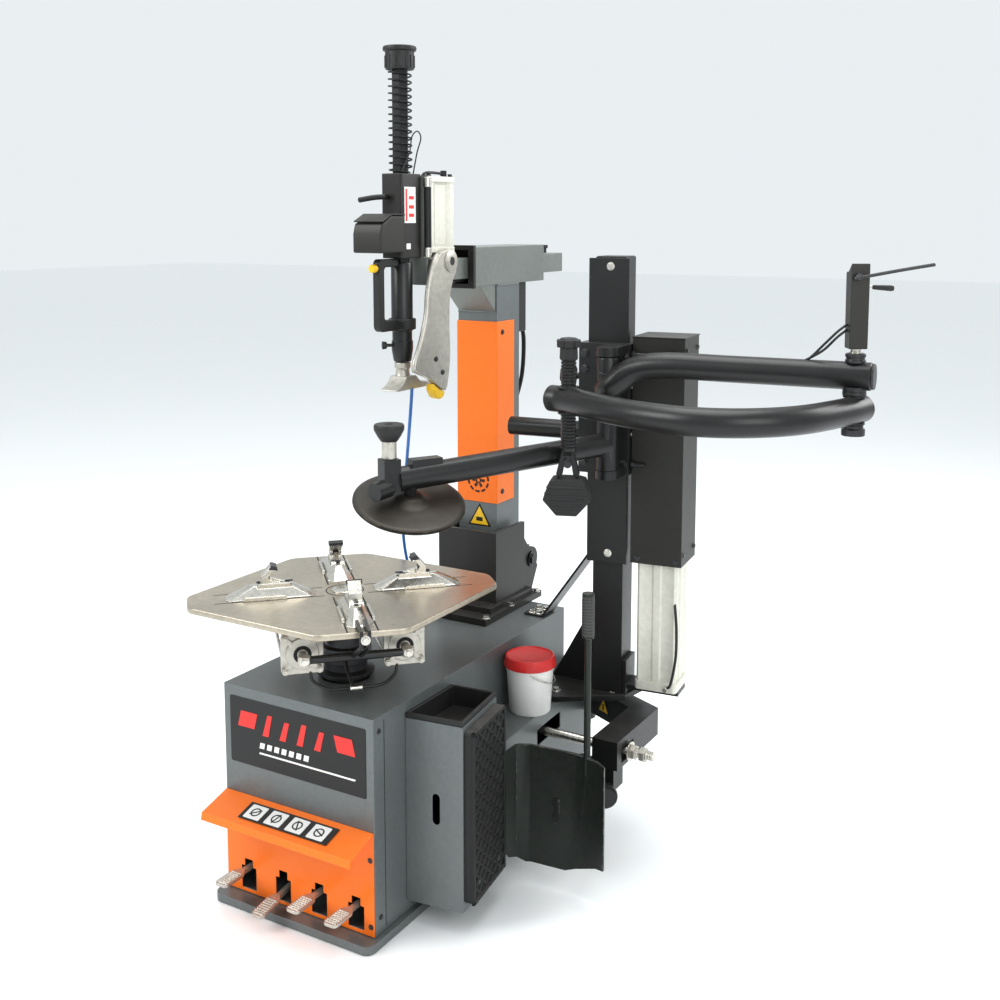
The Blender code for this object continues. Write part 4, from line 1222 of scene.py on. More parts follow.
@dataclass
class Cabinet:
    """The cabinet with its front panel, pedal cover and base."""

    shop: Workshop
    half: float = 0.215
    front: float = -0.185

    def build(self) -> None:
        """Builds every piece of the cabinet."""
        for node, edge in (("cabinet_shell", 0.004), ("base_frame", 0.0015)):
            self.shop.dress(node, GREY, edge)
        self.shop.dress("pedal_cover", ORANGE, 0.0008)
        self.shop.dress("gearbox", STEEL, 0.002)
        self.shop.dress("drive_motor", STEEL, 0.002)
        self.panel()
        self.icons()
        self.trim()

    def panel(self) -> None:
        """The dark front panel with its plain coloured bands."""
        y = self.front
        ink = (y - 0.0022, y - 0.0012)
        board = prism(rounded((-0.196, 0.338), (0.195, 0.497), 0.004), "y", y - 0.0014, y - 0.0004)
        self.shop.add("front_panel", [board], INK, "frame", edge=0.0004)
        bands = []
        for x, slant in ((-0.172, 0.010), (0.118, -0.010)):
            band = [(x, 0.428), (x + 0.050, 0.428), (x + 0.050 + slant, 0.466), (x + slant, 0.466)]
            bands.append(prism(band, "y", *ink))
        for k in range(4):
            x = -0.098 + 0.050 * k
            height = 0.052 - 0.006 * (k % 2)
            band = [
                (x, 0.418), (x + 0.018, 0.418), (x + 0.030, 0.418 + height), (x + 0.016, 0.418 + height),
            ]
            bands.append(prism(band, "y", *ink))
        self.shop.add("panel_red_bands", bands, PRINT_RED, "frame")
        rule = [(-0.110, 0.372), (0.165, 0.372), (0.168, 0.3765), (-0.107, 0.3765)]
        marks = [prism(rule, "y", *ink)]
        for k in range(7):
            x = -0.108 + 0.0215 * k
            mark = [(x, 0.386), (x + 0.014, 0.386), (x + 0.017, 0.400), (x + 0.003, 0.400)]
            marks.append(prism(mark, "y", *ink))
        self.shop.add("panel_white_marks", marks, PRINT_WHITE, "frame")

    def icons(self) -> None:
        """The strip of pedal signs on the canopy."""
        slope = shift(0, -0.2290, 0.2525) @ spin(15.8, "X")
        strip = placed(box((-0.118, -0.026, 0.0012), (0.135, 0.026, 0.0020)), slope)
        self.shop.add("pedal_sign_strip", [strip], INK, "frame")
        squares, signs = [], []
        for k, x in enumerate((-0.085, -0.025, 0.036, 0.097)):
            squares.append(
                placed(
                    prism(rounded((x - 0.023, -0.021), (x + 0.023, 0.021), 0.003), "z", 0.0018, 0.0026),
                    slope,
                )
            )
            ring = turned(ring_profile(0.0095, 0.0125, 0.0022, 0.0032), slope @ shift(x, 0, 0), 28)
            signs.append(ring)
            turn = slope @ shift(x, 0, 0) @ spin(35 + 40 * k)
            signs.append(placed(box((-0.015, -0.0014, 0.0022), (0.015, 0.0014, 0.0032)), turn))
        self.shop.add("pedal_sign_squares", squares, PRINT_WHITE, "frame")
        self.shop.add("pedal_sign_marks", signs, INK, "frame")

    def trim(self) -> None:
        """Screws, the door seam and the stay's bolts."""
        y = self.front - 0.0035
        places = [((s * 0.205, y, z), (0, -1, 0)) for s in SIDES for z in (0.045, 0.200)]
        places += [((self.half + 0.0003, yy, zz), (1, 0, 0)) for yy, zz in ((-0.165, 0.06), (-0.165, 0.49))]
        self.shop.bolts("cabinet_screws", places, STEEL, "frame", 0.0045, 0.0025, 16)
        seam = [box((self.half, -0.1465, 0.03), (self.half + 0.0006, -0.1450, 0.51))]
        seam.append(box((-self.half - 0.0006, 0.05, 0.05), (-self.half, 0.0515, 0.49)))
        seam.append(box((-self.half - 0.0006, 0.52, 0.05), (-self.half, 0.5215, 0.49)))
        self.shop.add("cabinet_seams", seam, SHADOW, "frame")
        vents = self.shop.bars(
            9, (0, 0.022, 0), (0.0012, 0.010, 0.090), (0, 0, 0), shift(-self.half - 0.0004, 0.200, 0.330),
        )
        rear = self.shop.bars(
            8, (0.026, 0, 0), (0.012, 0.0012, 0.090), (0, 0, 0), shift(-0.090, 0.7084, 0.330),
        )
        self.shop.add("cabinet_vents", [vents, rear], SHADOW, "frame")


@dataclass
class AirHose:
    """The blue air hose that hangs behind the turntable."""

    shop: Workshop
    radius: float = 0.004
    route: tuple[Point, ...] = (
        (0.024, 0.250, 1.1792),
        (0.022, 0.250, 1.150),
        (0.012, 0.252, 1.060),
        (-0.012, 0.272, 0.960),
        (-0.045, 0.305, 0.870),
        (-0.070, 0.340, 0.780),
        (-0.076, 0.365, 0.700),
        (-0.066, 0.390, 0.620),
        (-0.052, 0.402, 0.560),
        (-0.050, 0.404, 0.5235),
    )

    def build(self) -> None:
        """Builds the hose and its fitting, and logs the hose's length along its route."""
        path = smooth_route(self.route, 4)
        hose = self.shop.add(
            "air_hose_tube", [bent_tube(path, self.radius, 2, 20)], BLUE, "head_slide", ["air_hose"],
            sharp=60,
        )
        nut = turned(
            [
                (0, 0), (0.009, 0), (0.009, 0.010), (0.006, 0.013), (0.006, 0.024), (0.0045, 0.026),
                (0, 0.026),
            ],
            aimed(self.route[-1], self.route[-2]), 24,
        )
        fitting = self.shop.add("air_hose_fitting", [nut], BRIGHT, "head_slide")
        length = sum((b - a).length for a, b in zip(path, path[1:]))
        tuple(self.route[0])
        LOG.info("air hose is %.3f m long", length)


@dataclass
class Pedals:
    """Four cast foot pedals with ribbed treads."""

    shop: Workshop
    axis_y: float = -0.020
    axis_z: float = 0.084
    places: tuple[tuple[str, float, float], ...] = (
        ("pedal_tilt", -0.149, 0.0),
        ("pedal_clamp", -0.045, 10.0),
        ("pedal_breaker", 0.060, 0.0),
        ("pedal_rotate", 0.164, 0.0),
    )

    def build(self) -> None:
        """Builds each pedal's arm, tread and ribs."""
        pivot = Vector((0, self.axis_y, self.axis_z))
        for name, x, pressed in self.places:
            turn = Matrix.Translation(pivot) @ spin(pressed, "X") @ Matrix.Translation(-pivot)
            arm = prism(
                [
                    (-0.228, 0.080), (-0.200, 0.079), (self.axis_y, 0.077), (self.axis_y, 0.091),
                    (-0.228, 0.089),
                ],
                "x", x - 0.006, x + 0.006,
            )
            tread = [
                (x - 0.006, -0.206), (x - 0.018, -0.226), *arc((x - 0.008, -0.275), 0.010, 180, 270, 6),
            ]
            tread += [
                *arc((x + 0.008, -0.275), 0.010, 270, 360, 6), (x + 0.018, -0.226), (x + 0.006, -0.206),
            ]
            rim = prism(tread, "z", 0.0835, 0.0905)
            ribs = self.shop.bars(
                8, (0, 0.0068, 0), (0.029, 0.0026, 0.0035), (0, 0, 0), shift(x, -0.2775, 0.0912),
            )
            boss = rod(
                (x - 0.010, self.axis_y, self.axis_z), (x + 0.010, self.axis_y, self.axis_z), 0.013, 32,
            )
            shapes = [placed(shape, turn) for shape in (arm, rim, ribs, boss)]
            self.shop.add(f"{name}_casting", shapes, CAST, name, [name], 0.0008)


@dataclass
class Turntable:
    """The plate, its four clamping jaws and the cylinders that drive them."""

    shop: Workshop
    half: float = 0.285
    wide: float = 0.140
    narrow: float = 0.060
    rounding: float = 0.028 * 0.6
    thick: float = 0.014
    clamp_z: float = 0.636
    side: float = 0.115
    angles: tuple[tuple[str, float], ...] = (
        ("jaw_right", 45.0), ("jaw_back", 135.0), ("jaw_left", 225.0), ("jaw_front", 315.0),
    )

    def build(self) -> None:
        """Builds the plate, hub, jaws and cylinders."""
        self.plate()
        self.hub()
        for name, angle in self.angles:
            self.jaw(name, spin(angle))
        front = spin(-45)
        for name, hand in (("clamp_cylinder_left", -1), ("clamp_cylinder_right", 1)):
            self.cylinder(name, hand * self.side, front)
        self.hoses(front)

    @staticmethod
    def corner(before: Vector, at: Vector, after: Vector, reach: float) -> list[Vector]:
        """Points that round one corner of the plate.

        Args:
            before: the corner before it.
            at: the corner.
            after: the corner after it.
            reach: how far along each side the rounding starts.

        Returns:
            The points, in order.
        """
        first, second = (before - at).normalized(), (after - at).normalized()
        start, end = at + first * reach, at + second * reach
        return [(1 - t) ** 2 * start + 2 * t * (1 - t) * at + t * t * end for t in (0, 0.25, 0.5, 0.75, 1)]

    def plate(self) -> None:
        """The plate with rounded corners, slots along its diagonals and a pressed ring."""
        h, w, n = self.half, self.wide, self.narrow
        points = [Vector(p) for p in ((-h, -h + n), (-h + n, -h), (h - w, -h), (h, -h + w))]
        points += [-p for p in points]
        outline = []
        for i, at in enumerate(points):
            outline += [
                tuple(p)
                for p in self.corner(points[i - 1], at, points[(i + 1) % len(points)], self.rounding)
            ]
        low = PLATE_TOP - self.thick
        self.shop.add(
            "turntable_plate", [prism(outline, "z", low, PLATE_TOP)], PLATE, "turntable", ["table_plate"],
            0.003,
        )
        slots = []
        for _, angle in self.angles:
            turn = spin(angle)
            for s in SIDES:
                slots.append(
                    placed(
                        box(
                            (0.050, s * 0.033 - 0.0018, PLATE_TOP - 0.0005),
                            (0.300, s * 0.033 + 0.0018, PLATE_TOP + HOVER),
                        ),
                        turn,
                    )
                )
        top = PLATE_TOP + HOVER
        ring = ring_profile(0.042, 0.045, PLATE_TOP - 0.001, top)
        slots.append(turned(ring, Matrix(), 64))
        self.shop.add("turntable_slots", slots, SHADOW, "turntable")
        cap = [
            (0, PLATE_TOP), (0.030, PLATE_TOP), (0.030, PLATE_TOP + 0.003), (0.026, PLATE_TOP + 0.005),
            (0, PLATE_TOP + 0.005),
        ]
        self.shop.add("turntable_centre_cap", [turned(cap, Matrix(), 48)], BRIGHT, "turntable")

    def hub(self) -> None:
        """The shaft under the plate, with its rotary air coupling."""
        low = PLATE_TOP - self.thick
        stack = [
            (0, 0.4405), (0.048, 0.4405), (0.048, 0.528), (0.067, 0.530), (0.068, 0.540), (0.050, 0.544),
            (0.050, 0.560),
        ]
        stack += [
            (0.056, 0.562), (0.056, 0.598), (0.048, 0.602), (0.048, low - 0.032), (0.075, low - 0.030),
            (0.075, low - 0.0004), (0, low - 0.0004),
        ]
        self.shop.add(
            "turntable_shaft", [turned(stack, Matrix(), 56)], STEEL, "turntable", ["table_hub"], 0.001,
        )
        places = [
            ((0.058 * math.cos(a), 0.058 * math.sin(a), low - 0.030), (0, 0, -1))
            for a in (0.4, 1.45, 2.5, 3.54, 4.6, 5.64)
        ]
        self.shop.bolts("turntable_hub_bolts", places, BRIGHT, "turntable", 0.006, 0.006)

    def jaw(self, name: str, turn: Matrix) -> None:
        """One jaw: its folded slide cover, carrier and serrated claw.

        Args:
            name: the jaw's CAD node, which is its body too.
            turn: from the X axis to the jaw's own diagonal.
        """
        z = PLATE_TOP + 0.0003
        shapes = [self.cover(z)]
        claw = [
            (0.168, z + 0.020), (0.192, z + 0.020), (0.192, z + 0.050), (0.170, z + 0.0745),
            (0.158, z + 0.070),
        ]
        claw += [(0.177, z + 0.047), (0.174, z + 0.040), (0.168, z + 0.038)]
        brace = [(0.122, z + 0.020), (0.176, z + 0.020), (0.176, z + 0.046), (0.122, z + 0.0285)]
        carrier = [(0.124, z + 0.020), (0.206, z + 0.020), (0.200, z + 0.0325), (0.128, z + 0.0325)]
        shapes += [
            prism(claw, "y", -0.015, 0.015), prism(brace, "y", -0.005, 0.005),
            prism(carrier, "y", -0.0165, 0.0165),
        ]
        rail = [(0.135, z), (0.238, z), (0.232, z + 0.0085), (0.141, z + 0.0085)]
        shapes += [prism(rail, "y", side * 0.0335 - 0.003, side * 0.0335 + 0.003) for side in SIDES]
        placed_shapes = [placed(shape, turn) for shape in shapes]
        self.shop.add(f"{name}_slide", placed_shapes, BRIGHT, name, [name], 0.0008, 25)
        if name == "jaw_front":
            self.yoke(turn)
        lip = turn @ shift(0.1598, 0, z + 0.0660) @ spin(42, "Y")
        teeth = self.shop.bars(
            7, (0, 0.0048, 0), (0.0040, 0.0026, 0.0090), (0, 0, 0), lip @ shift(0, -0.0144, 0),
        )
        cap = [(0.176, z + 0.0655), (0.170, z + 0.0752), (0.157, z + 0.0712), (0.1612, z + 0.0640)]
        slot = box((0.1205, -0.0052, z + 0.0330), (0.150, 0.0052, z + 0.0338))
        self.shop.add(
            f"{name}_teeth", [teeth, placed(prism(cap, "y", -0.0175, 0.0175), turn)], STEEL, name,
            edge=0.0005,
        )
        window = placed(
            box((-0.0006, -0.007, -0.006), (0.0006, 0.007, 0.006)), turn @ shift(0.1744, 0, z + 0.0425),
        )
        self.shop.add(f"{name}_slots", [placed(slot, turn), window], SHADOW, name)
        places = [(turn @ Vector((0.199, 0, z + 0.0326)), (0, 0, 1))]
        self.shop.bolts(f"{name}_bolts", places, STEEL, name, 0.0042, 0.0030)

    @staticmethod
    def cover(z: float) -> Shape:
        """The slide's cover: a folded sheet that slopes down on all four sides.

        Args:
            z: height of its foot.

        Returns:
            The closed shape.
        """
        levels = (
            (0.068, 0.275, 0.030, z), (0.074, 0.269, 0.029, z + 0.004), (0.119, 0.223, 0.013, z + 0.027),
            (0.126, 0.217, 0.010, z + 0.0285),
        )
        shape = bmesh.new()
        rings = []
        for x0, x1, half, height in levels:
            corners = ((x0, -half * 0.55), (x0 + 0.012, -half), (x1 - 0.012, -half), (x1, -half * 0.55))
            corners += tuple((x, -y) for x, y in reversed(corners))
            rings.append([shape.verts.new((x, y, height)) for x, y in corners])
        for low, high in zip(rings, rings[1:]):
            for k in range(8):
                m = (k + 1) % 8
                shape.faces.new((low[k], low[m], high[m], high[k]))
        shape.faces.new(reversed(rings[0]))
        shape.faces.new(rings[-1])
        bmesh.ops.recalc_face_normals(shape, faces=shape.faces)
        return shape

    def yoke(self, turn: Matrix) -> None:
        """The cross bar that both piston rods push, and its link up to the front jaw.

        Args:
            turn: from the X axis to the front jaw's diagonal.
        """
        z = self.clamp_z
        bar = turned(
            [(0, -0.118), (0.0085, -0.118), (0.0100, 0), (0.0085, 0.118), (0, 0.118)],
            shift(0.193, 0, z) @ spin(90, "X"), 32,
        )
        link = [(0.185, z), (0.203, z), (0.340, 0.700), (0.340, 0.742), (0.262, 0.742), (0.262, 0.734)]
        link += [(0.328, 0.734), (0.328, 0.706), (0.215, z + 0.016), (0.185, z + 0.010)]
        straps = [prism(link, "y", side * 0.0085 - 0.0035, side * 0.0085 + 0.0035) for side in SIDES]
        shapes = [placed(shape, turn) for shape in (bar, *straps)]
        self.shop.add("clamp_yoke", shapes, BLACK, "jaw_front", edge=0.0010)
        ends = []
        for side in SIDES:
            ends.append(
                placed(rod((0.060, side * self.side, z), (0.186, side * self.side, z), 0.010), turn)
            )
            eye = [
                (0, -0.010), (0.0125, -0.010), (0.0140, -0.008), (0.0140, 0.008), (0.0125, 0.010),
                (0, 0.010),
            ]
            ends.append(placed(turned(eye, shift(0.193, side * self.side, z), 32), turn))
        self.shop.add("clamp_rod_ends", ends, CAST, "jaw_front", sharp=40)
        heads = [(turn @ Vector((0.2045, side * self.side, z)), way(turn, 1, 0, 0)) for side in SIDES]
        heads.append((turn @ Vector((0.3402, 0, 0.722)), way(turn, 1, 0, 0)))
        self.shop.bolts("clamp_yoke_bolts", heads, BRIGHT, "jaw_front", 0.0075, 0.006)

    def cylinder(self, name: str, y: float, turn: Matrix) -> None:
        """One clamping cylinder: a drawn barrel between two ribbed cast heads.

        Args:
            name: the cylinder's CAD node.
            y: how far it stands to the side of the diagonal.
            turn: from the X axis to the front jaw's diagonal.
        """
        z, low = self.clamp_z, PLATE_TOP - self.thick
        barrel = drum_profile(0.036, -0.150, 0.140)
        along = shift(0, y, z) @ spin(90, "Y")
        shapes = [placed(turned(barrel, along, 48), turn)]
        for x in (-0.165, 0.135):
            head = rounded((y - 0.047, z - 0.047), (y + 0.047, z + 0.046), 0.012)
            shapes.append(placed(prism(head, "x", x, x + 0.012), turn))
            boss = [
                (0, x + 0.010), (0.038, x + 0.010), (0.036, x + 0.018), (0.024, x + 0.020), (0, x + 0.020),
            ]
            shapes.append(placed(turned(boss, along, 40), turn))
            for a in (45, 135, 225, 315):
                foot = along @ spin(a)
                shapes.append(
                    placed(box((0.020, -0.005, x + 0.010), (0.050, 0.005, x + 0.019)), turn @ foot)
                )
        shapes.append(placed(box((-0.020, y - 0.020, z + 0.030), (0.020, y + 0.020, low - 0.0005)), turn))
        self.shop.add(f"{name}_body", shapes, CAST, "turntable", [name], 0.0012)
        front = [
            (turn @ Vector((0.156, y + s * 0.038, z + t * 0.037)), way(turn, 1, 0, 0))
            for s in SIDES for t in SIDES
        ]
        back = [
            (turn @ Vector((-0.166, y + s * 0.038, z + t * 0.037)), way(turn, -1, 0, 0))
            for s in SIDES for t in SIDES
        ]
        self.shop.bolts(f"{name}_bolts", front + back, CAST, "turntable", 0.0055, 0.005)
        # Painted shade: a dark ring on the head's boss round the piston rod stands for the shade in the
        # recess there.
        x = 0.1546
        painted_recess_shade = ring_profile(0.0120, 0.0200, x, x + 0.0012)
        recess = [placed(turned(painted_recess_shade, along, 40), turn)]
        self.shop.add(f"{name}_seal", recess, SHADOW, "turntable")
        ties = [
            placed(
                rod(
                    (-0.160, y + s * 0.038, z + t * 0.037), (0.150, y + s * 0.038, z + t * 0.037), 0.004,
                    16,
                ),
                turn,
            )
            for s in SIDES for t in SIDES
        ]
        self.shop.add(f"{name}_tie_rods", ties, BRIGHT, "turntable")

    def hoses(self, turn: Matrix) -> None:
        """Short air lines from the rotary coupling to both cylinders.

        Args:
            turn: from the X axis to the front jaw's diagonal.
        """
        lines = []
        for s in SIDES:
            out = [
                (0.144, s * 0.098, 0.592), (0.150, s * 0.092, 0.570), (0.170, s * 0.060, 0.557),
                (0.180, s * 0.012, 0.558),
            ]
            back = [
                (-0.030, s * 0.040, 0.585), (-0.110, s * 0.050, 0.575), (-0.150, s * 0.080, 0.578),
                (-0.156, s * 0.100, 0.592),
            ]
            lines += [placed(bent_tube(route, 0.0038, 10, 14), turn) for route in (out, back)]
        feed = [
            (0.180, 0.0, 0.558), (0.160, -0.004, 0.556), (0.110, -0.010, 0.572), (0.060, -0.010, 0.590),
            (0.045, -0.008, 0.594),
        ]
        lines.append(placed(bent_tube(feed, 0.0038, 10, 14), turn))
        tee = placed(rod((0.180, -0.014, 0.558), (0.180, 0.014, 0.558), 0.0065, 20), turn)
        self.shop.add("turntable_air_tee", [tee], BRIGHT, "turntable")
        self.shop.add("turntable_air_lines", lines, HOSE, "turntable")


@dataclass
class Column:
    """The tilting column with its cover, base and arm box."""

    shop: Workshop

    def build(self) -> None:
        """Builds every piece of the column."""
        self.shop.dress("column_base", DARK_BASE, 0.002)
        self.shop.dress("column_tube", GREY, 0.004)
        self.shop.dress("column_cover", ORANGE, 0.0012)
        self.shop.dress("arm_box", BOX_GREY, 0.003)
        self.shop.dress("valve_box", COVER, 0.003)
        self.signs()
        self.fasteners()
        self.hose()

    def signs(self) -> None:
        """A plain target sign and a plain triangle on the cover."""
        y = 0.5966
        face = shift(0.004, y, 0.880) @ spin(90, "X")
        marks = []
        for k in range(10):
            turn = face @ spin(36 * k)
            marks.append(
                placed(
                    prism(arc((0, 0), 0.034, 0, 24, 5) + arc((0, 0), 0.029, 24, 0, 5), "z", 0, 0.0008),
                    turn,
                )
            )
        for k in range(6):
            turn = face @ spin(60 * k)
            marks.append(placed(box((0.010, -0.0035, 0), (0.020, 0.0035, 0.0008)), turn))
        ring = ring_profile(0.005, 0.0085, 0, 0.0008)
        marks.append(turned(ring, face, 24))
        self.shop.add("cover_target_sign", marks, INK, "column")
        low = shift(0.006, 0.5992, 0.780) @ spin(90, "X")
        triangle = prism([(-0.036, -0.028), (0.036, -0.028), (0, 0.034)], "z", -0.0008, 0.0002)
        self.shop.add("cover_triangle_border", [placed(triangle, low)], INK, "column")
        inner = prism([(-0.029, -0.0245), (0.029, -0.0245), (0, 0.026)], "z", 0, 0.0008)
        self.shop.add("cover_triangle", [placed(inner, low)], YELLOW, "column")
        bar = box((-0.010, -0.015, 0.0006), (0.010, -0.004, 0.0012))
        self.shop.add("cover_triangle_mark", [placed(bar, low)], INK, "column")

    def fasteners(self) -> None:
        """Screws on the cover, bolts on the base and pivot, and the bracket under the arm box."""
        places = [((s * 0.0640, 0.625, z), (s, 0, 0)) for s in (1, -1) for z in (0.850, 1.290)]
        self.shop.bolts("cover_screws", places, STEEL, "column", 0.0055, 0.003, 18)
        base = [((s * 0.104, y, 0.540), (0, 0, 1)) for s in SIDES for y in (0.472, 0.600, 0.748)]
        self.shop.bolts("column_base_bolts", base, BRIGHT, "frame", 0.008, 0.007)
        pivot = [((s * 0.0828, 0.763, 0.627), (s, 0, 0)) for s in SIDES]
        self.shop.bolts("tilt_pin_nuts", pivot, STEEL, "frame", 0.016, 0.007)
        marks = [((x, 0.508, 1.4235), (0, -1, -1)) for x in (-0.035, 0.0, 0.030)]
        self.shop.bolts("arm_box_screws", marks, BRIGHT, "column", 0.004, 0.003)
        welds = [bent_tube([(-0.060, 0.5985, 1.3455), (0.060, 0.5985, 1.3455)], 0.0022, 24, 10)]
        welds.append(bent_tube([(0.0610, 0.604, 1.4185), (0.0610, 0.718, 1.4185)], 0.0022, 24, 10))
        self.shop.add("column_welds", welds, GREY, "column")
        lining = [
            box((-0.054, 0.478, 1.4275), (-0.047, 0.862, 1.5145)),
            box((0.047, 0.478, 1.4275), (0.054, 0.862, 1.5145)),
        ]
        self.shop.add("arm_box_guides", lining, STEEL, "column", edge=0.0008)
        collar = [
            box((-0.065, 0.4755, 1.415), (0.065, 0.487, 1.4275)),
            box((-0.065, 0.4755, 1.5145), (0.065, 0.487, 1.527)),
        ]
        collar += [
            box((s * 0.0585 - 0.0065, 0.4755, 1.4275), (s * 0.0585 + 0.0065, 0.487, 1.5145))
            for s in SIDES
        ]
        self.shop.add("arm_box_mouth", collar, DARK_BASE, "column", edge=0.001)

    def hose(self) -> None:
        """The air line from the valve box down behind the column."""
        route = [
            (0.030, 0.788, 1.300), (0.034, 0.796, 1.250), (0.030, 0.792, 1.150), (0.010, 0.775, 1.050),
            (0.0, 0.752, 0.960), (0.0, 0.742, 0.860), (0.0, 0.738, 0.760), (0.0, 0.7245, 0.700),
        ]
        line = bent_tube(route, 0.006, 10, 18)
        self.shop.add("column_air_line", [line], HOSE, "column")
        ends = [
            rod(route[0], (0.030, 0.786, 1.324), 0.010, 24),
            rod((0.0, 0.722, 0.694), (0.0, 0.734, 0.712), 0.010, 24),
        ]
        self.shop.add("column_air_fittings", ends, BRIGHT, "column")


@dataclass
class ToolHead:
    """The tool head: locking cylinder, spring bar, handle, tool arm and mount head."""

    shop: Workshop

    def build(self) -> None:
        """Builds every piece of the head."""
        self.slide()
        self.lock()
        self.controls()
        self.bar()
        self.handle()
        self.arm()
        self.foot()
        self.cable()

    def slide(self) -> None:
        """The horizontal slide and its stop screw."""
        self.shop.dress("horizontal_slide", BOX_GREY, 0.002)
        stop = [(0, 1.4945), (0.004, 1.4945), (0.004, 1.508), (0.008, 1.509), (0.008, 1.518), (0, 1.518)]
        self.shop.add("slide_stop_screw", [turned(stop, shift(0, 0.985, 0), 24)], STEEL, "head_slide")
        wires = [
            bent_tube(
                [(x, 0.330, 1.438), (x + 0.006, 0.380, 1.428), (x, 0.440, 1.436), (x, 0.485, 1.437)], 0.004,
                8, 12,
            )
            for x in (0.020, 0.032)
        ]
        self.shop.add("slide_air_lines", wires, HOSE, "head_slide")

    def lock(self) -> None:
        """The locking cylinder: an extruded block with recessed sides between two end caps."""
        y0, y1, x = 0.302, 0.420, 0.046
        body = [
            (-x + 0.003, y0 + 0.022), (-x + 0.003, y0), (x - 0.003, y0), (x - 0.003, y0 + 0.022),
            (x - 0.010, y0 + 0.028),
        ]
        body += [
            (x - 0.010, y1 - 0.028), (x - 0.003, y1 - 0.022), (x - 0.003, y1 - 0.004),
            (-x + 0.003, y1 - 0.004),
        ]
        body += [(-x + 0.003, y1 - 0.022), (-x + 0.010, y1 - 0.028), (-x + 0.010, y0 + 0.028)]
        shapes = [prism(body, "z", 1.520, 1.690)]
        shapes += [
            prism(rounded((-x, y0), (x, y1), 0.008), "z", lo, hi)
            for lo, hi in ((1.512, 1.524), (1.686, 1.700))
        ]
        shapes.append(
            prism(rounded((x - 0.0105, y0 + 0.034), (x - 0.0085, y1 - 0.034), 0.0009, 3), "z", 1.530, 1.680)
        )
        self.shop.add("lock_cylinder_block", shapes, PALE, "head_slide", ["lock_cylinder"], 0.0015)
        corners = [((sx * 0.036, yy, 1.700), (0, 0, 1)) for sx in SIDES for yy in (y0 + 0.011, y1 - 0.011)]
        self.shop.bolts("lock_cylinder_bolts", corners, STEEL, "head_slide", 0.006, 0.007)
        pipe = bent_tube(
            [(0.020, 0.300, 1.694), (0.022, 0.320, 1.708), (0.024, 0.370, 1.709), (0.024, 0.400, 1.706)],
            0.0035, 8, 12,
        )
        lug = rod((0.024, 0.398, 1.700), (0.024, 0.398, 1.716), 0.008, 20)
        self.shop.add("lock_air_pipe", [pipe, lug], SPRING, "head_slide")

    def controls(self) -> None:
        """The head casting, its label plate, the control box and the lock lever."""
        shell = prism(rounded((-0.030, 0.205), (0.030, 0.2895), 0.006), "z", 1.500, 1.704)
        self.shop.add("head_casting_body", [shell], DARK_BASE, "head_slide", ["head_casting"], 0.002)
        hood = [
            (0.105, 1.515), (0.2045, 1.515), (0.2045, 1.603), (0.150, 1.603), (0.112, 1.583),
            (0.105, 1.560),
        ]
        top = [
            (0.112, 1.587), (0.150, 1.604), (0.204, 1.604), (0.204, 1.6075), (0.149, 1.6075),
            (0.110, 1.590),
        ]
        self.shop.add(
            "control_box_shell", [prism(hood, "x", -0.042, 0.040)], COVER, "head_slide", ["control_box"],
            0.004,
        )
        self.shop.add("control_box_lid", [prism(top, "x", -0.043, 0.041)], COVER, "head_slide", edge=0.001)
        plate = [
            box((0.0302, 0.215, 1.585), (0.0316, 0.262, 1.672)),
            box((0.0302, 0.222, 1.522), (0.0314, 0.240, 1.536)),
        ]
        self.shop.add("head_label_plate", plate, PRINT_WHITE, "head_slide", edge=0.0003)
        marks = [
            prism([(0.219, 1.590), (0.226, 1.590), (0.226, 1.667), (0.219, 1.667)], "x", 0.0314, 0.0321)
        ]
        marks += [box((0.0314, 0.233, z), (0.0321, 0.254, z + 0.008)) for z in (1.600, 1.620, 1.642)]
        self.shop.add("head_label_marks", marks, PRINT_RED, "head_slide")
        chrome = [
            rod((0.040, 0.300, 1.500), (0.040, 0.300, 1.525), 0.011, 32),
            rod((0.040, 0.300, 1.672), (0.040, 0.300, 1.697), 0.011, 32),
        ]
        self.shop.add("guide_rod_bushes", chrome, BRIGHT, "head_slide")
        self.shop.add(
            "guide_rod", [rod((0.040, 0.300, 1.520), (0.040, 0.300, 1.676), 0.010, 32)], SPRING,
            "head_slide",
        )
        stem = rod((-0.012, 0.2040, 1.648), (-0.012, 0.186, 1.648), 0.006, 20)
        grip = bent_tube(
            [(-0.008, 0.190, 1.648), (-0.030, 0.174, 1.646), (-0.058, 0.154, 1.640)], 0.0065, 8, 18, 0.003,
        )
        self.shop.add("lock_lever_handle", [stem, grip], PLASTIC, "lock_lever", ["lock_lever"])

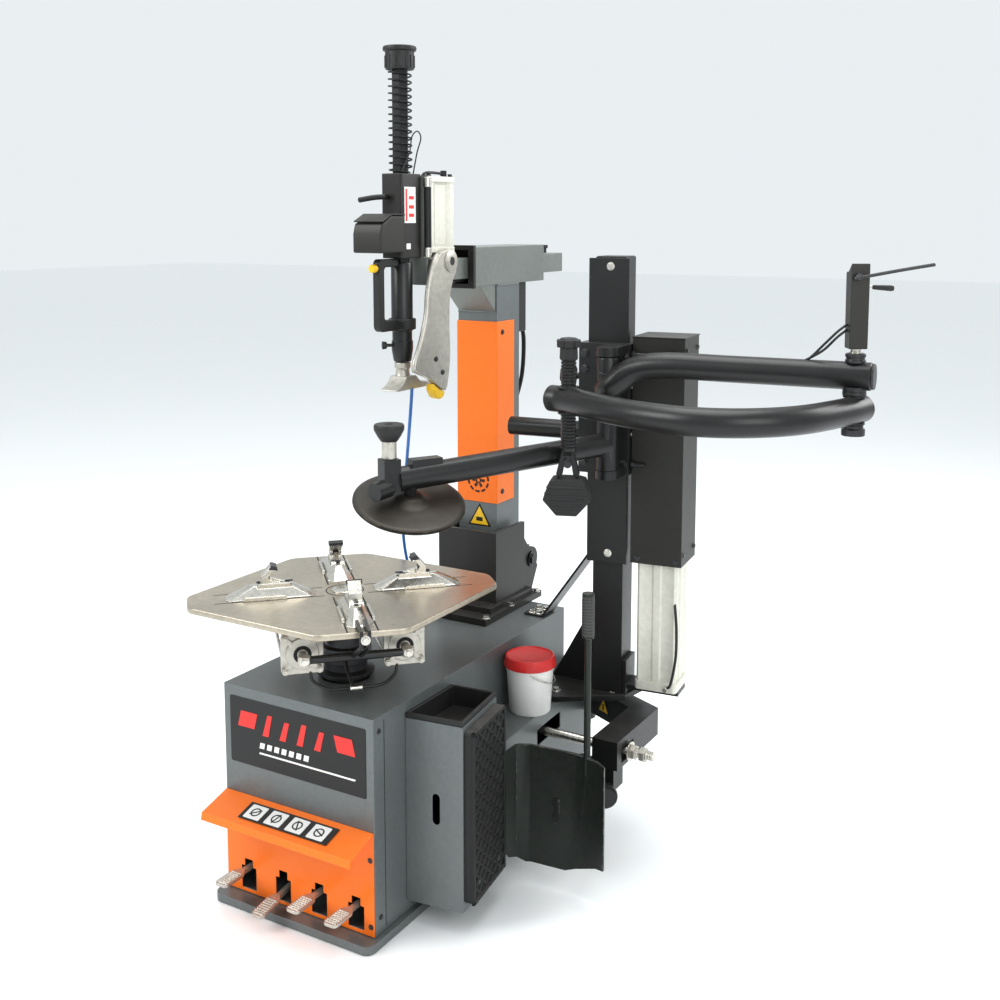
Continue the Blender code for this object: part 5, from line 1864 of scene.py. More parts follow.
    def bar(self) -> None:
        """The six-sided tool bar with its ribbed cap, spring and sleeve."""
        hexagon = [
            (HEAD.x + 0.0212 * math.cos(a), HEAD.y + 0.0212 * math.sin(a))
            for a in (math.pi * k / 3 for k in range(6))
        ]
        self.shop.add(
            "tool_bar_shaft", [prism(hexagon, "z", 1.300, 1.956)], SPRING, "tool_bar", ["tool_bar"], 0.001,
        )
        cap = [
            (0, 1.951), (0.033, 1.951), (0.035, 1.953), (0.035, 1.993), (0.040, 1.996), (0.041, 2.001),
            (0.039, 2.006), (0.010, 2.007), (0, 2.007),
        ]
        shapes = [turned(cap, Matrix.Translation(HEAD), 56)]
        for k in range(14):
            turn = Matrix.Translation(HEAD) @ Matrix.Rotation(2 * math.pi * k / 14, 4, "Z")
            shapes.append(placed(box((0.0335, -0.0045, 1.956), (0.0368, 0.0045, 1.984)), turn))
        self.shop.add("tool_bar_cap", shapes, PLASTIC, "tool_bar", edge=0.0008)
        base = HEAD + Vector((0, 0, 1.7065))
        pitch, low_turns, high_turns = 0.241 / 14.5, 8, 6.5
        self.shop.coil(
            "return_spring_coil", base, low_turns, 0.0272, pitch * low_turns, 0.0021, SPRING, "head_slide",
            ["return_spring"],
        )
        seam = base + Vector((0, 0, pitch * low_turns))
        self.shop.coil(
            "return_spring_top_coil", seam, high_turns, 0.0272, pitch * high_turns, 0.0021, SPRING,
            "tool_bar",
        )
        sleeve = [
            (0, 1.246), (0.021, 1.246), (0.0225, 1.250), (0.0265, 1.276), (0.0265, 1.296), (0.0245, 1.298),
            (0.0245, 1.320), (0.0265, 1.322),
        ]
        sleeve += [(0.0265, 1.486), (0.024, 1.490), (0, 1.490)]
        self.shop.add(
            "tool_sleeve_tube", [turned(sleeve, Matrix.Translation(HEAD), 56)], BLACK, "tool_bar",
            ["tool_sleeve"],
        )
        knob = [(0, 0), (0.004, 0), (0.004, 0.012), (0.009, 0.014), (0.010, 0.024), (0, 0.025)]
        self.shop.add(
            "sleeve_knob", [turned(knob, aimed((-0.018, 0.226, 1.286), (-0.050, 0.194, 1.286)), 24)],
            PLASTIC, "tool_bar",
        )

    def handle(self) -> None:
        """The hand grip with its clamp ring and yellow button."""
        loop = [
            (0.218, 1.352), (0.166, 1.352), (0.160, 1.358), (0.160, 1.474), (0.166, 1.480), (0.218, 1.480),
            (0.218, 1.4994),
        ]
        loop += [
            (0.152, 1.4994), *arc((0.152, 1.4864), 0.013, 90, 180, 5),
            *arc((0.155, 1.341), 0.016, 180, 270, 6), (0.218, 1.325),
        ]
        shapes = [prism(loop, "x", -0.010, 0.010)]
        ring = ring_profile(0.0273, 0.034, 1.325, 1.352)
        shapes.append(turned(ring, Matrix.Translation(HEAD), 48))
        self.shop.add("grip_handle_loop", shapes, PLASTIC, "tool_bar", ["grip_handle"], 0.003)
        ribs = self.shop.bars(
            5, (0, 0, 0.0045), (0.074, 0.0022, 0.0022), (0, 0, 0), shift(0, 0.2135, 1.329),
        )
        self.shop.add("grip_ring_ribs", [ribs], PLASTIC, "tool_bar", edge=0.0004)
        button = [(0, 0), (0.0098, 0), (0.0100, 0.002), (0.0100, 0.011), (0.0085, 0.0135), (0, 0.0138)]
        stem = rod((0, 0.144, 1.478), (0, 0.131, 1.478), 0.0074, 28)
        self.shop.add(
            "grip_button_cap", [turned(button, aimed((0, 0.134, 1.478), (0, 0.120, 1.478)), 32), stem],
            YELLOW, "grip_button", ["grip_button"],
        )

    def arm(self) -> None:
        """The curved cast tool arm with its pivot and yellow tip."""
        front = smooth_route(
            [
                (0.318, 1.512, 0), (0.290, 1.478, 0), (0.270, 1.420, 0), (0.262, 1.360, 0),
                (0.240, 1.300, 0), (0.213, 1.252, 0), (0.207, 1.226, 0),
            ],
            5,
        )
        back = smooth_route(
            [
                (0.338, 1.166, 0), (0.350, 1.210, 0), (0.356, 1.262, 0), (0.353, 1.330, 0),
                (0.356, 1.400, 0), (0.374, 1.448, 0), (0.390, 1.470, 0),
            ],
            5,
        )
        outline = [(p.x, p.y) for p in front]
        outline += [(0.262, 1.206), (0.318, 1.172)]
        outline += [(p.x, p.y) for p in back]
        outline += arc((0.362, 1.490), 0.031, -15, 112, 9)
        web = prism(outline, "x", 0.0515, 0.068)
        self.shop.add("tool_arm_web", [web], CAST, "tool_arm", ["tool_arm"], 0.002)
        rims = [
            bent_tube([(0.0605, *p[:2]) for p in route[1:-1]], 0.0072, 2, 16, 0.002)
            for route in (front, back)
        ]
        rims.append(
            turned(
                [
                    (0.010, -0.011), (0.026, -0.011), (0.028, -0.008), (0.028, 0.011), (0.020, 0.0135),
                    (0.010, 0.0135), (0.010, -0.011),
                ],
                shift(0.0595, 0.362, 1.490) @ spin(90, "Y"), 48,
            )
        )
        self.shop.add("tool_arm_rims", rims, CAST, "tool_arm")
        self.shop.bolts(
            "tool_arm_pivot", [((0.067, 0.362, 1.490), (1, 0, 0))], STEEL, "tool_arm", 0.011, 0.006, 24,
        )
        self.shop.bolts(
            "tool_arm_screws", [((0.0682, 0.292, 1.250), (1, 0, 0)), ((0.0682, 0.322, 1.214), (1, 0, 0))],
            STEEL, "tool_arm", 0.005, 0.003, 18,
        )
        tip = [
            (0.290, 1.189), (0.286, 1.172), (0.300, 1.152), (0.318, 1.145), (0.334, 1.150), (0.341, 1.163),
            (0.318, 1.171),
        ]
        self.shop.add("tool_arm_tip", [prism(tip, "x", 0.0400, 0.0640)], YELLOW, "tool_arm", edge=0.004)

    def foot(self) -> None:
        """The mount head under the bar: a flared casting with a hooked lip."""
        z = 1.180
        flare = [
            (0, z + 0.008), (0.026, z + 0.010), (0.018, z + 0.030), (0.0165, z + 0.046), (0.020, z + 0.050),
            (0.020, z + 0.0632), (0, z + 0.0632),
        ]
        shapes = [turned(flare, Matrix.Translation(HEAD), 48)]
        wing = [
            (0.182, z - 0.002), (0.196, z - 0.003), (0.346, z - 0.003), (0.357, z + 0.001),
            (0.352, z + 0.005), (0.318, z + 0.007),
        ]
        wing += [
            (0.286, z + 0.013), (0.266, z + 0.030), (0.226, z + 0.030), (0.214, z + 0.015),
            (0.200, z + 0.006), (0.182, z + 0.001),
        ]
        shapes.append(prism(wing, "x", -0.024, 0.026))
        self.shop.add("mount_head_casting", shapes, CAST, "tool_bar", ["mount_head"], 0.002)

    def cable(self) -> None:
        """The thin line that loops from the bar into the head."""
        route = [
            (0.024, 0.262, 1.700), (0.030, 0.272, 1.755), (0.036, 0.280, 1.790), (0.034, 0.268, 1.806),
            (0.0305, 0.250, 1.792), (0.0300, 0.240, 1.755), (0.020, 0.222, 1.708),
        ]
        self.shop.add("head_cable_loop", [bent_tube(route, 0.0016, 12, 10)], HOSE, "head_slide")


@dataclass
class SideBox:
    """The box at the cabinet's side with its tray, rubber pad, shelf and paste bucket."""

    shop: Workshop
    face: Matrix = field(default_factory=lambda: shift(0.358, -0.049, 0) @ spin(8.05))
    bucket: Vector = field(default_factory=lambda: Vector((0.2835, 0.389, 0.3553)))

    def build(self) -> None:
        """Builds every piece of the side box."""
        self.shop.dress("side_box", GREY, 0.003)
        self.shop.dress("shelf_beam", GREY, 0.003)
        self.shop.dress("tool_tray", PLASTIC, 0.004)
        self.pad()
        self.paste()

    def pad(self) -> None:
        """The rubber bead pad with its diagonal ribs and screws."""
        outline = rounded((0.005, 0.071), (0.189, 0.473), 0.010)
        shapes = [placed(prism(outline, "x", 0.0004, 0.020), self.face)]
        frame_bars = [
            ((0.005, 0.071), (0.189, 0.080)), ((0.005, 0.464), (0.189, 0.473)),
            ((0.005, 0.071), (0.013, 0.473)), ((0.181, 0.071), (0.189, 0.473)),
        ]
        shapes += [
            placed(box((0.018, lo[0], lo[1]), (0.0255, hi[0], hi[1])), self.face)
            for lo, hi in frame_bars
        ]
        window = [
            ((0, 0.013, 0), (0, -1, 0)), ((0, 0.181, 0), (0, 1, 0)), ((0, 0, 0.080), (0, 0, -1)),
            ((0, 0, 0.464), (0, 0, 1)),
        ]
        for lean in SIDES:
            rows = self.shop.bars(
                19, (0, 0, 0.034), (0.006, 0.250, 0.006), (lean * 0.70, 0, 0), shift(0.0212, 0.097, -0.030),
            )
            shapes.append(placed(clipped(rows, window), self.face))
        self.shop.add("rubber_pad_ribbed", shapes, RUBBER, "frame", ["rubber_pad"], 0.0008)
        places = [
            (self.face @ Vector((0.0200, y, z)), way(self.face, 1, 0, 0))
            for y in (0.040, 0.155) for z in (0.110, 0.272, 0.436)
        ]
        self.shop.bolts("rubber_pad_screws", places, STEEL, "frame", 0.006, 0.003, 16)

    def paste(self) -> None:
        """The white paste bucket with its red lid and wire handle."""
        at = Matrix.Translation(self.bucket)
        wall = [
            (0, 0), (0.050, 0), (0.0525, 0.003), (0.0595, 0.110), (0.0615, 0.110), (0.0620, 0.118),
            (0.0585, 0.122), (0, 0.122),
        ]
        self.shop.add(
            "paste_bucket_shell", [turned(wall, at, 64)], WHITE, "frame", ["paste_bucket"], sharp=40,
        )
        lid = [
            (0, 0.1235), (0.0600, 0.1235), (0.0640, 0.118), (0.0655, 0.119), (0.0660, 0.126),
            (0.0645, 0.130), (0.0640, 0.138), (0.0615, 0.1445),
        ]
        lid += [(0.0575, 0.1460), (0.0560, 0.1425), (0.0520, 0.1405), (0, 0.1405)]
        self.shop.add("paste_bucket_lid", [turned(lid, at, 72)], RED, "frame", sharp=40)
        notches = []
        for k in range(36):
            turn = at @ Matrix.Rotation(2 * math.pi * k / 36, 4, "Z")
            notches.append(placed(box((0.0630, -0.0012, 0.119), (0.0665, 0.0012, 0.128)), turn))
        self.shop.add("bucket_lid_ribs", notches, RED, "frame")
        turns = [math.radians(-60 + 170 * k / 11) for k in range(12)]
        wire = [
            self.bucket + Vector(
                (0.0640 * math.cos(a), 0.0640 * math.sin(a), 0.112 - 0.034 * math.sin(math.pi * k / 11))
            )
            for k, a in enumerate(turns)
        ]
        self.shop.add("bucket_handle", [bent_tube(wire, 0.0014, 6, 10)], BRIGHT, "frame")


@dataclass
class Breaker:
    """The bead breaker: cylinder, rod, swinging arm and blade."""

    shop: Workshop
    axis_y: float = 0.420
    axis_z: float = 0.292

    def build(self) -> None:
        """Builds every piece of the bead breaker."""
        self.shop.dress("breaker_cylinder", PALE, 0.003)
        self.shop.dress("breaker_arm", BLACK, 0.003)
        self.shop.dress("breaker_blade", BLADE, 0.002)
        self.rod()
        self.details()

    def rod(self) -> None:
        """The piston rod, its thread and its nuts."""
        along = shift(0, self.axis_y, self.axis_z) @ spin(90, "Y")
        bar = [(0, 0.0), (0.0115, 0.0), (0.0115, 0.545), (0.0105, 0.547)]
        for k in range(16):
            bar += [(0.0105, 0.548 + 0.004 * k), (0.0115, 0.550 + 0.004 * k)]
        bar += [(0.0100, 0.613), (0, 0.614)]
        shapes = [turned(bar, along, 32)]
        shapes.append(turned(drum_profile(0.024, 0.5492, 0.5518), along, 40))
        self.shop.add("breaker_rod_bar", shapes, BRIGHT, "breaker_rod", ["breaker_rod"], sharp=40)
        nuts = []
        for x in (0.552, 0.578):
            hexagon = [
                (0.019 * math.cos(math.pi * k / 3), 0.019 * math.sin(math.pi * k / 3))
                for k in range(6)
            ]
            nuts.append(placed(prism(hexagon, "z", x, x + 0.014), along))
        self.shop.add("breaker_rod_nuts", nuts, CAST, "breaker_rod", edge=0.0012)

    def details(self) -> None:
        """The pivot's cap and bolts, the grip, the clamp on the arm and a plain triangle."""
        cap = turned(
            [(0, 0.3302), (0.030, 0.3302), (0.030, 0.334), (0.026, 0.336), (0, 0.336)],
            shift(0.285, 0.700, 0), 40,
        )
        self.shop.add("breaker_pivot_cap", [cap], BLACK, "breaker_arm", edge=0.0006)
        self.shop.bolts(
            "breaker_pivot_nut", [((0.285, 0.700, 0.336), (0, 0, 1)), ((0.452, 0.362, 0.2735), (0, 0, 1))],
            STEEL, "breaker_arm", 0.013, 0.009,
        )
        face = shift(0.380, 0.6226, 0.300) @ spin(-27.2) @ spin(90, "X")
        triangle = prism([(-0.026, -0.019), (0.026, -0.019), (0, 0.026)], "z", 0.0002, 0.0012)
        inner = prism([(-0.020, -0.0155), (0.020, -0.0155), (0, 0.019)], "z", 0.0010, 0.0018)
        self.shop.add("arm_triangle_border", [placed(triangle, face)], INK, "breaker_arm")
        self.shop.add("arm_triangle", [placed(inner, face)], YELLOW, "breaker_arm")
        self.shop.add(
            "arm_triangle_mark", [placed(box((-0.002, -0.011, 0.0016), (0.002, 0.006, 0.0022)), face)], INK,
            "breaker_arm",
        )
        grip = [(0, 0.640), (0.0125, 0.640), (0.0142, 0.643)]
        for k in range(12):
            z = 0.646 + 0.0072 * k
            grip += [(0.0142, z), (0.0150, z + 0.0018), (0.0150, z + 0.0042), (0.0142, z + 0.006)]
        grip += [(0.0145, 0.738), (0.0100, 0.7455), (0, 0.7465)]
        self.shop.add(
            "breaker_grip", [turned(grip, shift(0.530, 0.219, 0), 32)], GRIP, "breaker_blade", sharp=50,
        )
        stack = drum_profile(0.022, 0.170, 0.174)
        self.shop.add(
            "blade_pin_washer", [turned(stack, shift(0.452, 0.362, -0.012), 32)], BRIGHT, "breaker_arm",
        )


@dataclass
class Tower:
    """The helper tower: post, carriage, its guard and the lift cylinder."""

    shop: Workshop

    def build(self) -> None:
        """Builds every piece of the tower."""
        self.shop.dress("tower_bracket", BLACK, 0.0015)
        self.shop.dress("tower_post", BLACK, 0.003)
        self.shop.dress("tower_brace", BLACK, 0.0012)
        self.shop.dress("carriage", BLACK, 0.002)
        self.shop.dress("cylinder_cover", COVER, 0.0025)
        self.lift()
        self.bolting()
        self.knob()

    def lift(self) -> None:
        """The pale ribbed lift cylinder between its end caps, with its air line."""
        turn = TOWER @ shift(0.1345, 0, 0)
        h = 0.052
        section = []
        for k in range(4):
            quarter = Matrix.Rotation(math.pi * k / 2, 3, "Z")
            side = [
                (h, -h + 0.006), (h - 0.004, -0.030), (h - 0.004, -0.012), (h - 0.001, -0.009),
                (h - 0.001, 0.009), (h - 0.004, 0.012), (h - 0.004, 0.030), (h, h - 0.006),
            ]
            section += [tuple((quarter @ Vector((*p, 0))).xy) for p in side]
        shapes = [placed(prism(section, "z", 0.418, 0.928), turn)]
        for lo, hi in ((0.3968, 0.420), (0.926, 0.9495)):
            shapes.append(
                placed(prism(rounded((-0.055, -0.055), (0.055, 0.055), 0.010), "z", lo, hi), turn)
            )
        self.shop.add("lift_cylinder_tube", shapes, PALE, "frame", ["lift_cylinder"], 0.0012)
        corners = [
            (turn @ Vector((sx * 0.042, sy * 0.042, 0.9495)), (0, 0, 1))
            for sx in SIDES for sy in SIDES
        ]
        self.shop.bolts("lift_cylinder_bolts", corners, BRIGHT, "frame", 0.0055, 0.006)
        route = [
            turn @ Vector(p)
            for p in (
                (0.030, -0.056, 0.408), (0.046, -0.070, 0.430), (0.058, -0.071, 0.500),
                (0.058, -0.068, 0.570), (0.052, -0.058, 0.612), (0.046, -0.046, 0.632),
            )
        ]
        self.shop.add("lift_air_line", [bent_tube(route, 0.0035, 8, 12)], HOSE, "frame")
        elbow = rod(turn @ Vector((0.030, -0.054, 0.408)), turn @ Vector((0.030, -0.066, 0.408)), 0.007, 20)
        self.shop.add("lift_air_fitting", [elbow], BRIGHT, "frame")

    def bolting(self) -> None:
        """Guide bolts on the carriage, rail screws, the post's cap and the bracket's bolts."""
        out = way(TOWER, 0, -1, 0)
        side = way(TOWER, 1, 0, 0)
        rail = [(TOWER @ Vector((0.004, -0.0538, z)), out) for z in (1.478, 0.745)]
        self.shop.bolts("rail_screws", rail, BRIGHT, "frame", 0.0075, 0.003, 24)
        plate = [
            (TOWER @ Vector((x, -0.0855, z)), out)
            for x, z in (
                (-0.050, 1.262), (-0.012, 1.262), (-0.050, 1.222), (0.052, 1.262), (0.052, 0.985),
                (-0.052, 0.985), (0.052, 1.110),
            )
        ]
        self.shop.bolts("carriage_bolts", plate, STEEL, "carriage", 0.0085, 0.007)
        gib = [(TOWER @ Vector((0.0670, -0.058, z)), side) for z in (0.985, 1.060, 1.180, 1.262)]
        self.shop.bolts("gib_screws", gib, BRIGHT, "carriage", 0.006, 0.012)
        long_bolts = []
        for z in (1.262, 0.985):
            long_bolts.append(
                rod(TOWER @ Vector((0.068, -0.073, z)), TOWER @ Vector((0.104, -0.073, z)), 0.0045, 20)
            )
            long_bolts.append(
                rod(TOWER @ Vector((0.068, -0.073, z)), TOWER @ Vector((0.078, -0.073, z)), 0.0085, 6)
            )
        self.shop.add("gib_adjusters", long_bolts, STEEL, "carriage")
        cap = placed(
            prism(rounded((-0.0385, -0.0385), (0.0385, 0.0385), 0.004), "z", 1.4965, 1.5025), TOWER,
        )
        self.shop.add("post_cap", [cap], BLACK, "frame", edge=0.0012)
        bracket = [
            ((x, y, 0.3703), (0, 0, 1))
            for x, y in ((0.245, 0.500), (0.300, 0.500), (0.430, 0.572), (0.452, 0.650), (0.260, 0.690))
        ]
        self.shop.bolts("bracket_bolts", bracket, BRIGHT, "frame", 0.009, 0.008)
        brace = [((x, y, 0.5288), (0, 0, 1)) for x in (0.168, 0.190) for y in (0.610, 0.648)]
        self.shop.bolts("brace_bolts", brace, BRIGHT, "frame", 0.009, 0.008)
        cover = [(TOWER @ Vector((0.2012, y, z)), side) for y in (-0.050, 0.050) for z in (0.760, 1.275)]
        cover += [(TOWER @ Vector((x, -0.0668, 0.745)), out) for x in (0.085, 0.186)]
        self.shop.bolts("cover_guard_screws", cover, STEEL, "carriage", 0.0055, 0.004, 18)
        hole = placed(rod((0.172, -0.0660, 1.262), (0.172, -0.0672, 1.262), 0.013, 28), TOWER)
        lip = placed(box((0.066, -0.0685, 1.3035), (0.203, 0.0685, 1.3065)), TOWER)
        self.shop.add("cover_guard_hole", [hole], SHADOW, "carriage")
        self.shop.add("cover_guard_lid", [lip], COVER, "carriage", edge=0.0008)
        loop = (
            (-0.0405, 0.0, 1.000), (-0.058, -0.002, 0.990), (-0.064, -0.010, 0.960),
            (-0.050, -0.020, 0.930),
        )
        line = bent_tube([TOWER @ Vector(p) for p in loop], 0.0035, 8, 12)
        self.shop.add("carriage_air_line", [line], HOSE, "carriage")

    def knob(self) -> None:
        """The scalloped knob that locks the arms' height."""
        place = TOWER @ shift(-0.067, -0.062, 1.200) @ spin(-90, "Y")
        grip = placed(prism(lobed(7, 0.027, 0.0215), "z", 0.020, 0.050), place)
        neck = turned([(0, 0.0005), (0.008, 0.0005), (0.008, 0.014), (0.015, 0.020), (0, 0.020)], place, 32)
        dome = turned([(0.0, 0.050), (0.019, 0.050), (0.016, 0.0535), (0.0, 0.055)], place, 32)
        self.shop.add("star_knob_grip", [grip, neck, dome], PLASTIC, "star_knob", ["star_knob"], 0.0008)


@dataclass
class HelperArms:
    """The tubular helper arms with press, valve post, disc and cone roller."""

    shop: Workshop
    tube: float = 0.0315
    upper_z: float = 1.249
    lower_z: float = 1.173

    def build(self) -> None:
        """Builds every piece of the helper arms."""
        self.upper()
        self.lower()
        self.press()
        self.valve()
        self.disc()

    def upper(self) -> None:
        """The bent upper tube, its barrel and its stud."""
        s, z = SWING, self.upper_z
        route = [
            s + Vector((-0.006, 0.002, 1.180)), s + Vector((0.020, -0.014, 1.196)), (0.530, 0.455, 1.234),
            (0.610, 0.462, z), (0.780, 0.478, z), (1.080, 0.503, z),
        ]
        shapes = [bent_tube(route, self.tube, 12, 40, 0.003)]
        barrel = [
            (0, 1.1285), (0.0265, 1.1285), (0.027, 1.130), (0.027, 1.256), (0.0255, 1.2612), (0, 1.2612),
        ]
        shapes.append(turned(barrel, Matrix.Translation(s), 48))
        stud = [
            (0, 1.1155), (0.0175, 1.1155), (0.0175, 1.2065), (0.026, 1.2065), (0.026, 1.225), (0, 1.225),
        ]
        elbow = Matrix.Translation(ELBOW)
        shapes.append(turned(stud, elbow, 40))
        self.shop.add("upper_arm_tube", shapes, BLACK, "upper_arm", ["upper_arm"], sharp=40)
        plug = turned(
            [(0, 0), (0.0295, 0), (0.0285, 0.0045), (0, 0.006)],
            aimed((1.0835, 0.5033, z), (1.20, 0.5128, z)), 40,
        )
        nut = [
            (0, 1.1155), (0.0255, 1.1155), (0.026, 1.118), (0.026, 1.130), (0.022, 1.132), (0.022, 1.139),
            (0, 1.1402),
        ]
        collar = [
            (0.018, 1.2065), (0.0262, 1.2065), (0.0262, 1.213), (0.0245, 1.2145), (0.0262, 1.216),
            (0.0262, 1.2245), (0.018, 1.2245), (0.018, 1.2065),
        ]
        seat = [
            (0, 1.279), (0.0225, 1.279), (0.0225, 1.2855), (0.0205, 1.2865), (0.0205, 1.291),
            (0.0225, 1.292), (0.0225, 1.2985), (0.018, 1.300), (0, 1.300),
        ]
        hardware = [plug, turned(nut, elbow, 40), turned(collar, elbow, 40), turned(seat, elbow, 40)]
        self.shop.add("upper_arm_collars", hardware, STEEL, "upper_arm", sharp=40)
        weld = [
            (s.x + 0.0278 * math.cos(a), s.y + 0.0278 * math.sin(a), 1.2225 + 0.004 * math.cos(3 * a))
            for a in (-1.9, -1.4, -0.9, -0.4, 0.1)
        ]
        self.shop.add("upper_arm_weld", [bent_tube(weld, 0.0022, 8, 10)], BLACK, "upper_arm")

    def lower(self) -> None:
        """The curved lower tube with its two sleeves."""
        plan = (
            (0.381, 0.315), (0.430, 0.303), (0.551, 0.232), (0.670, 0.181), (0.800, 0.165), (0.905, 0.208),
            (0.985, 0.300), (1.035, 0.440), (1.055, 0.530),
        )
        route = smooth_route([(x, y, self.lower_z) for x, y in plan], 8)
        pieces = self.tube_with_bores(route)
        self.shop.add("lower_arm_tube", pieces, BLACK, "lower_arm", ["lower_arm"], sharp=40)

    def tube_with_bores(self, route: list[Vector]) -> list[Shape]:
        """The lower tube and the sleeves the press rod and the stud pass through.

        Args:
            route: the tube's centre line.

        Returns:
            The shapes.
        """
        tube = bent_tube(route, self.tube, 2, 40, 0.004)
        collars = []
        for at, bore in ((PRESS_AXIS, 0.0185), (ELBOW, 0.0180)):
            for lo, hi in ((1.1400, 1.1455), (1.2005, 1.2060)):
                ring = [
                    (bore, lo), (0.0235, lo), (0.025, lo + 0.001), (0.025, hi - 0.001), (0.0235, hi),
                    (bore, hi), (bore, lo),
                ]
                collars.append(turned(ring, Matrix.Translation(at), 40))
        return [tube, *collars]

    def press(self) -> None:
        """The ridged press rod, its knob, and the pusher block below."""
        at = Matrix.Translation(PRESS_AXIS)
        bar = [(0, 1.052), (0.0165, 1.052)]
        for k in range(31):
            z = 1.056 + 0.0078 * k
            bar += [(0.0180, z), (0.0180, z + 0.0044), (0.0155, z + 0.0054), (0.0155, z + 0.0068)]
        bar += [(0.0180, 1.299), (0, 1.300)]
        self.shop.add("press_rod_bar", [turned(bar, at, 40)], BLACK, "press", sharp=40)
        neck = turned([(0, 1.268), (0.0195, 1.268), (0.0215, 1.271), (0.0205, 1.298), (0, 1.299)], at, 40)
        knob = placed(prism(lobed(6, 0.030, 0.0235), "z", 1.2985, 1.3155), at)
        dome = turned([(0, 1.3150), (0.0225, 1.3150), (0.019, 1.3195), (0, 1.322)], at, 40)
        self.shop.add("press_knob", [knob, neck, dome], PLASTIC, "press", edge=0.001)
        turn = at @ spin(20)
        fork = [
            (-0.011, 1.063), (0.011, 1.063), (0.027, 0.998), (0.024, 0.986), (0.014, 0.994), (0.006, 1.040),
            (-0.006, 1.040), (-0.014, 0.994), (-0.024, 0.986), (-0.027, 0.998),
        ]
        plates = [placed(prism(fork, "y", lo, hi), turn) for lo, hi in ((-0.012, -0.006), (0.006, 0.012))]
        plates.append(
            placed(
                prism(
                    [(-0.010, 1.062), (0.010, 1.062), (0.014, 1.040), (-0.014, 1.040)], "y", -0.012, 0.012,
                ),
                turn,
            )
        )
        self.shop.add("press_clevis", plates, BLACK, "press", ["press_rod"], 0.0015)
        block = [
            (-0.040, 0.984), (-0.024, 0.9875), (0.024, 0.9875), (0.040, 0.984), (0.052, 0.952),
            (0.056, 0.938), (0.024, 0.902), (-0.024, 0.902), (-0.056, 0.938), (-0.052, 0.952),
        ]
        shapes = [placed(prism(block, "y", -0.034, 0.034), turn)]
        for k in range(5):
            z = 0.910 + 0.014 * k
            half = 0.030 + 0.0068 * k if k < 3 else 0.0560 - 0.0045 * (k - 2)
            shapes.append(placed(box((-half, -0.036, z), (half, 0.036, z + 0.006)), turn))
        self.shop.add("pusher_block_rubber", shapes, PLASTIC, "press", ["pusher_block"], 0.002)
        self.shop.bolts(
            "clevis_pin_heads", [(turn @ Vector((0, -0.0122, 1.022)), way(turn, 0, -1, 0))], STEEL, "press",
            0.007, 0.004, 16,
        )

    def valve(self) -> None:
        """The valve post with its thin lever, its side handle and the two air lines."""
        turn = Matrix.Translation(ELBOW) @ spin(30)
        post = [
            (-0.019, 1.3105), (0.019, 1.3105), (0.020, 1.313), (0.0238, 1.476), (0.0215, 1.4795),
            (0.008, 1.4800), (-0.0185, 1.499), (-0.020, 1.497), (-0.020, 1.313),
        ]
        self.shop.add(
            "valve_post_shell", [placed(prism(post, "x", -0.020, 0.020), turn)], COVER, "upper_arm",
            ["valve_post"], 0.004,
        )
        neck = [
            (0, 1.2995), (0.0135, 1.2995), (0.0135, 1.303), (0.0115, 1.304), (0.0115, 1.312), (0, 1.312),
        ]
        neck_shape = turned(neck, turn, 32)
        stub = placed(rod((0.0205, -0.004, 1.4465), (0.030, -0.006, 1.4465), 0.0045, 20), turn)
        self.shop.add("valve_post_neck", [neck_shape, stub], BRIGHT, "upper_arm")
        start, end = turn @ Vector((0.029, -0.006, 1.4465)), turn @ Vector((0.076, -0.012, 1.444))
        profile = [
            (0, 0), (0.0042, 0), (0.0050, 0.004), (0.0064, 0.034), (0.0066, 0.041), (0.0050, 0.0465),
            (0, 0.0475),
        ]
        self.shop.add("valve_side_handle", [turned(profile, aimed(start, end), 24)], PLASTIC, "upper_arm")
        lever = [
            turn @ Vector(p)
            for p in (
                (-0.016, -0.030, 1.4665), (0.030, -0.0355, 1.4755), (0.090, -0.0420, 1.4870),
                (0.150, -0.0480, 1.4975),
            )
        ]
        boss = placed(rod((-0.006, -0.0205, 1.4700), (-0.006, -0.034, 1.4700), 0.0075, 24), turn)
        self.shop.add(
            "valve_lever_rod", [bent_tube(lever, 0.0038, 10, 16, 0.001), boss], STEEL, "valve_lever",
            ["valve_lever"],
        )
        lines = []
        for lift in (0.0, 0.012):
            route = [
                turn @ Vector((-0.0195, 0.004, 1.352 + lift)), Vector((1.008, 0.481, 1.335 + lift)),
                Vector((0.978, 0.486, 1.305 + lift)), Vector((0.945, 0.4895, 1.284)),
                Vector((0.915, 0.489, 1.268)),
            ]
            lines.append(bent_tube(route, 0.0028, 10, 12))
        self.shop.add("valve_air_lines", lines, HOSE, "upper_arm")

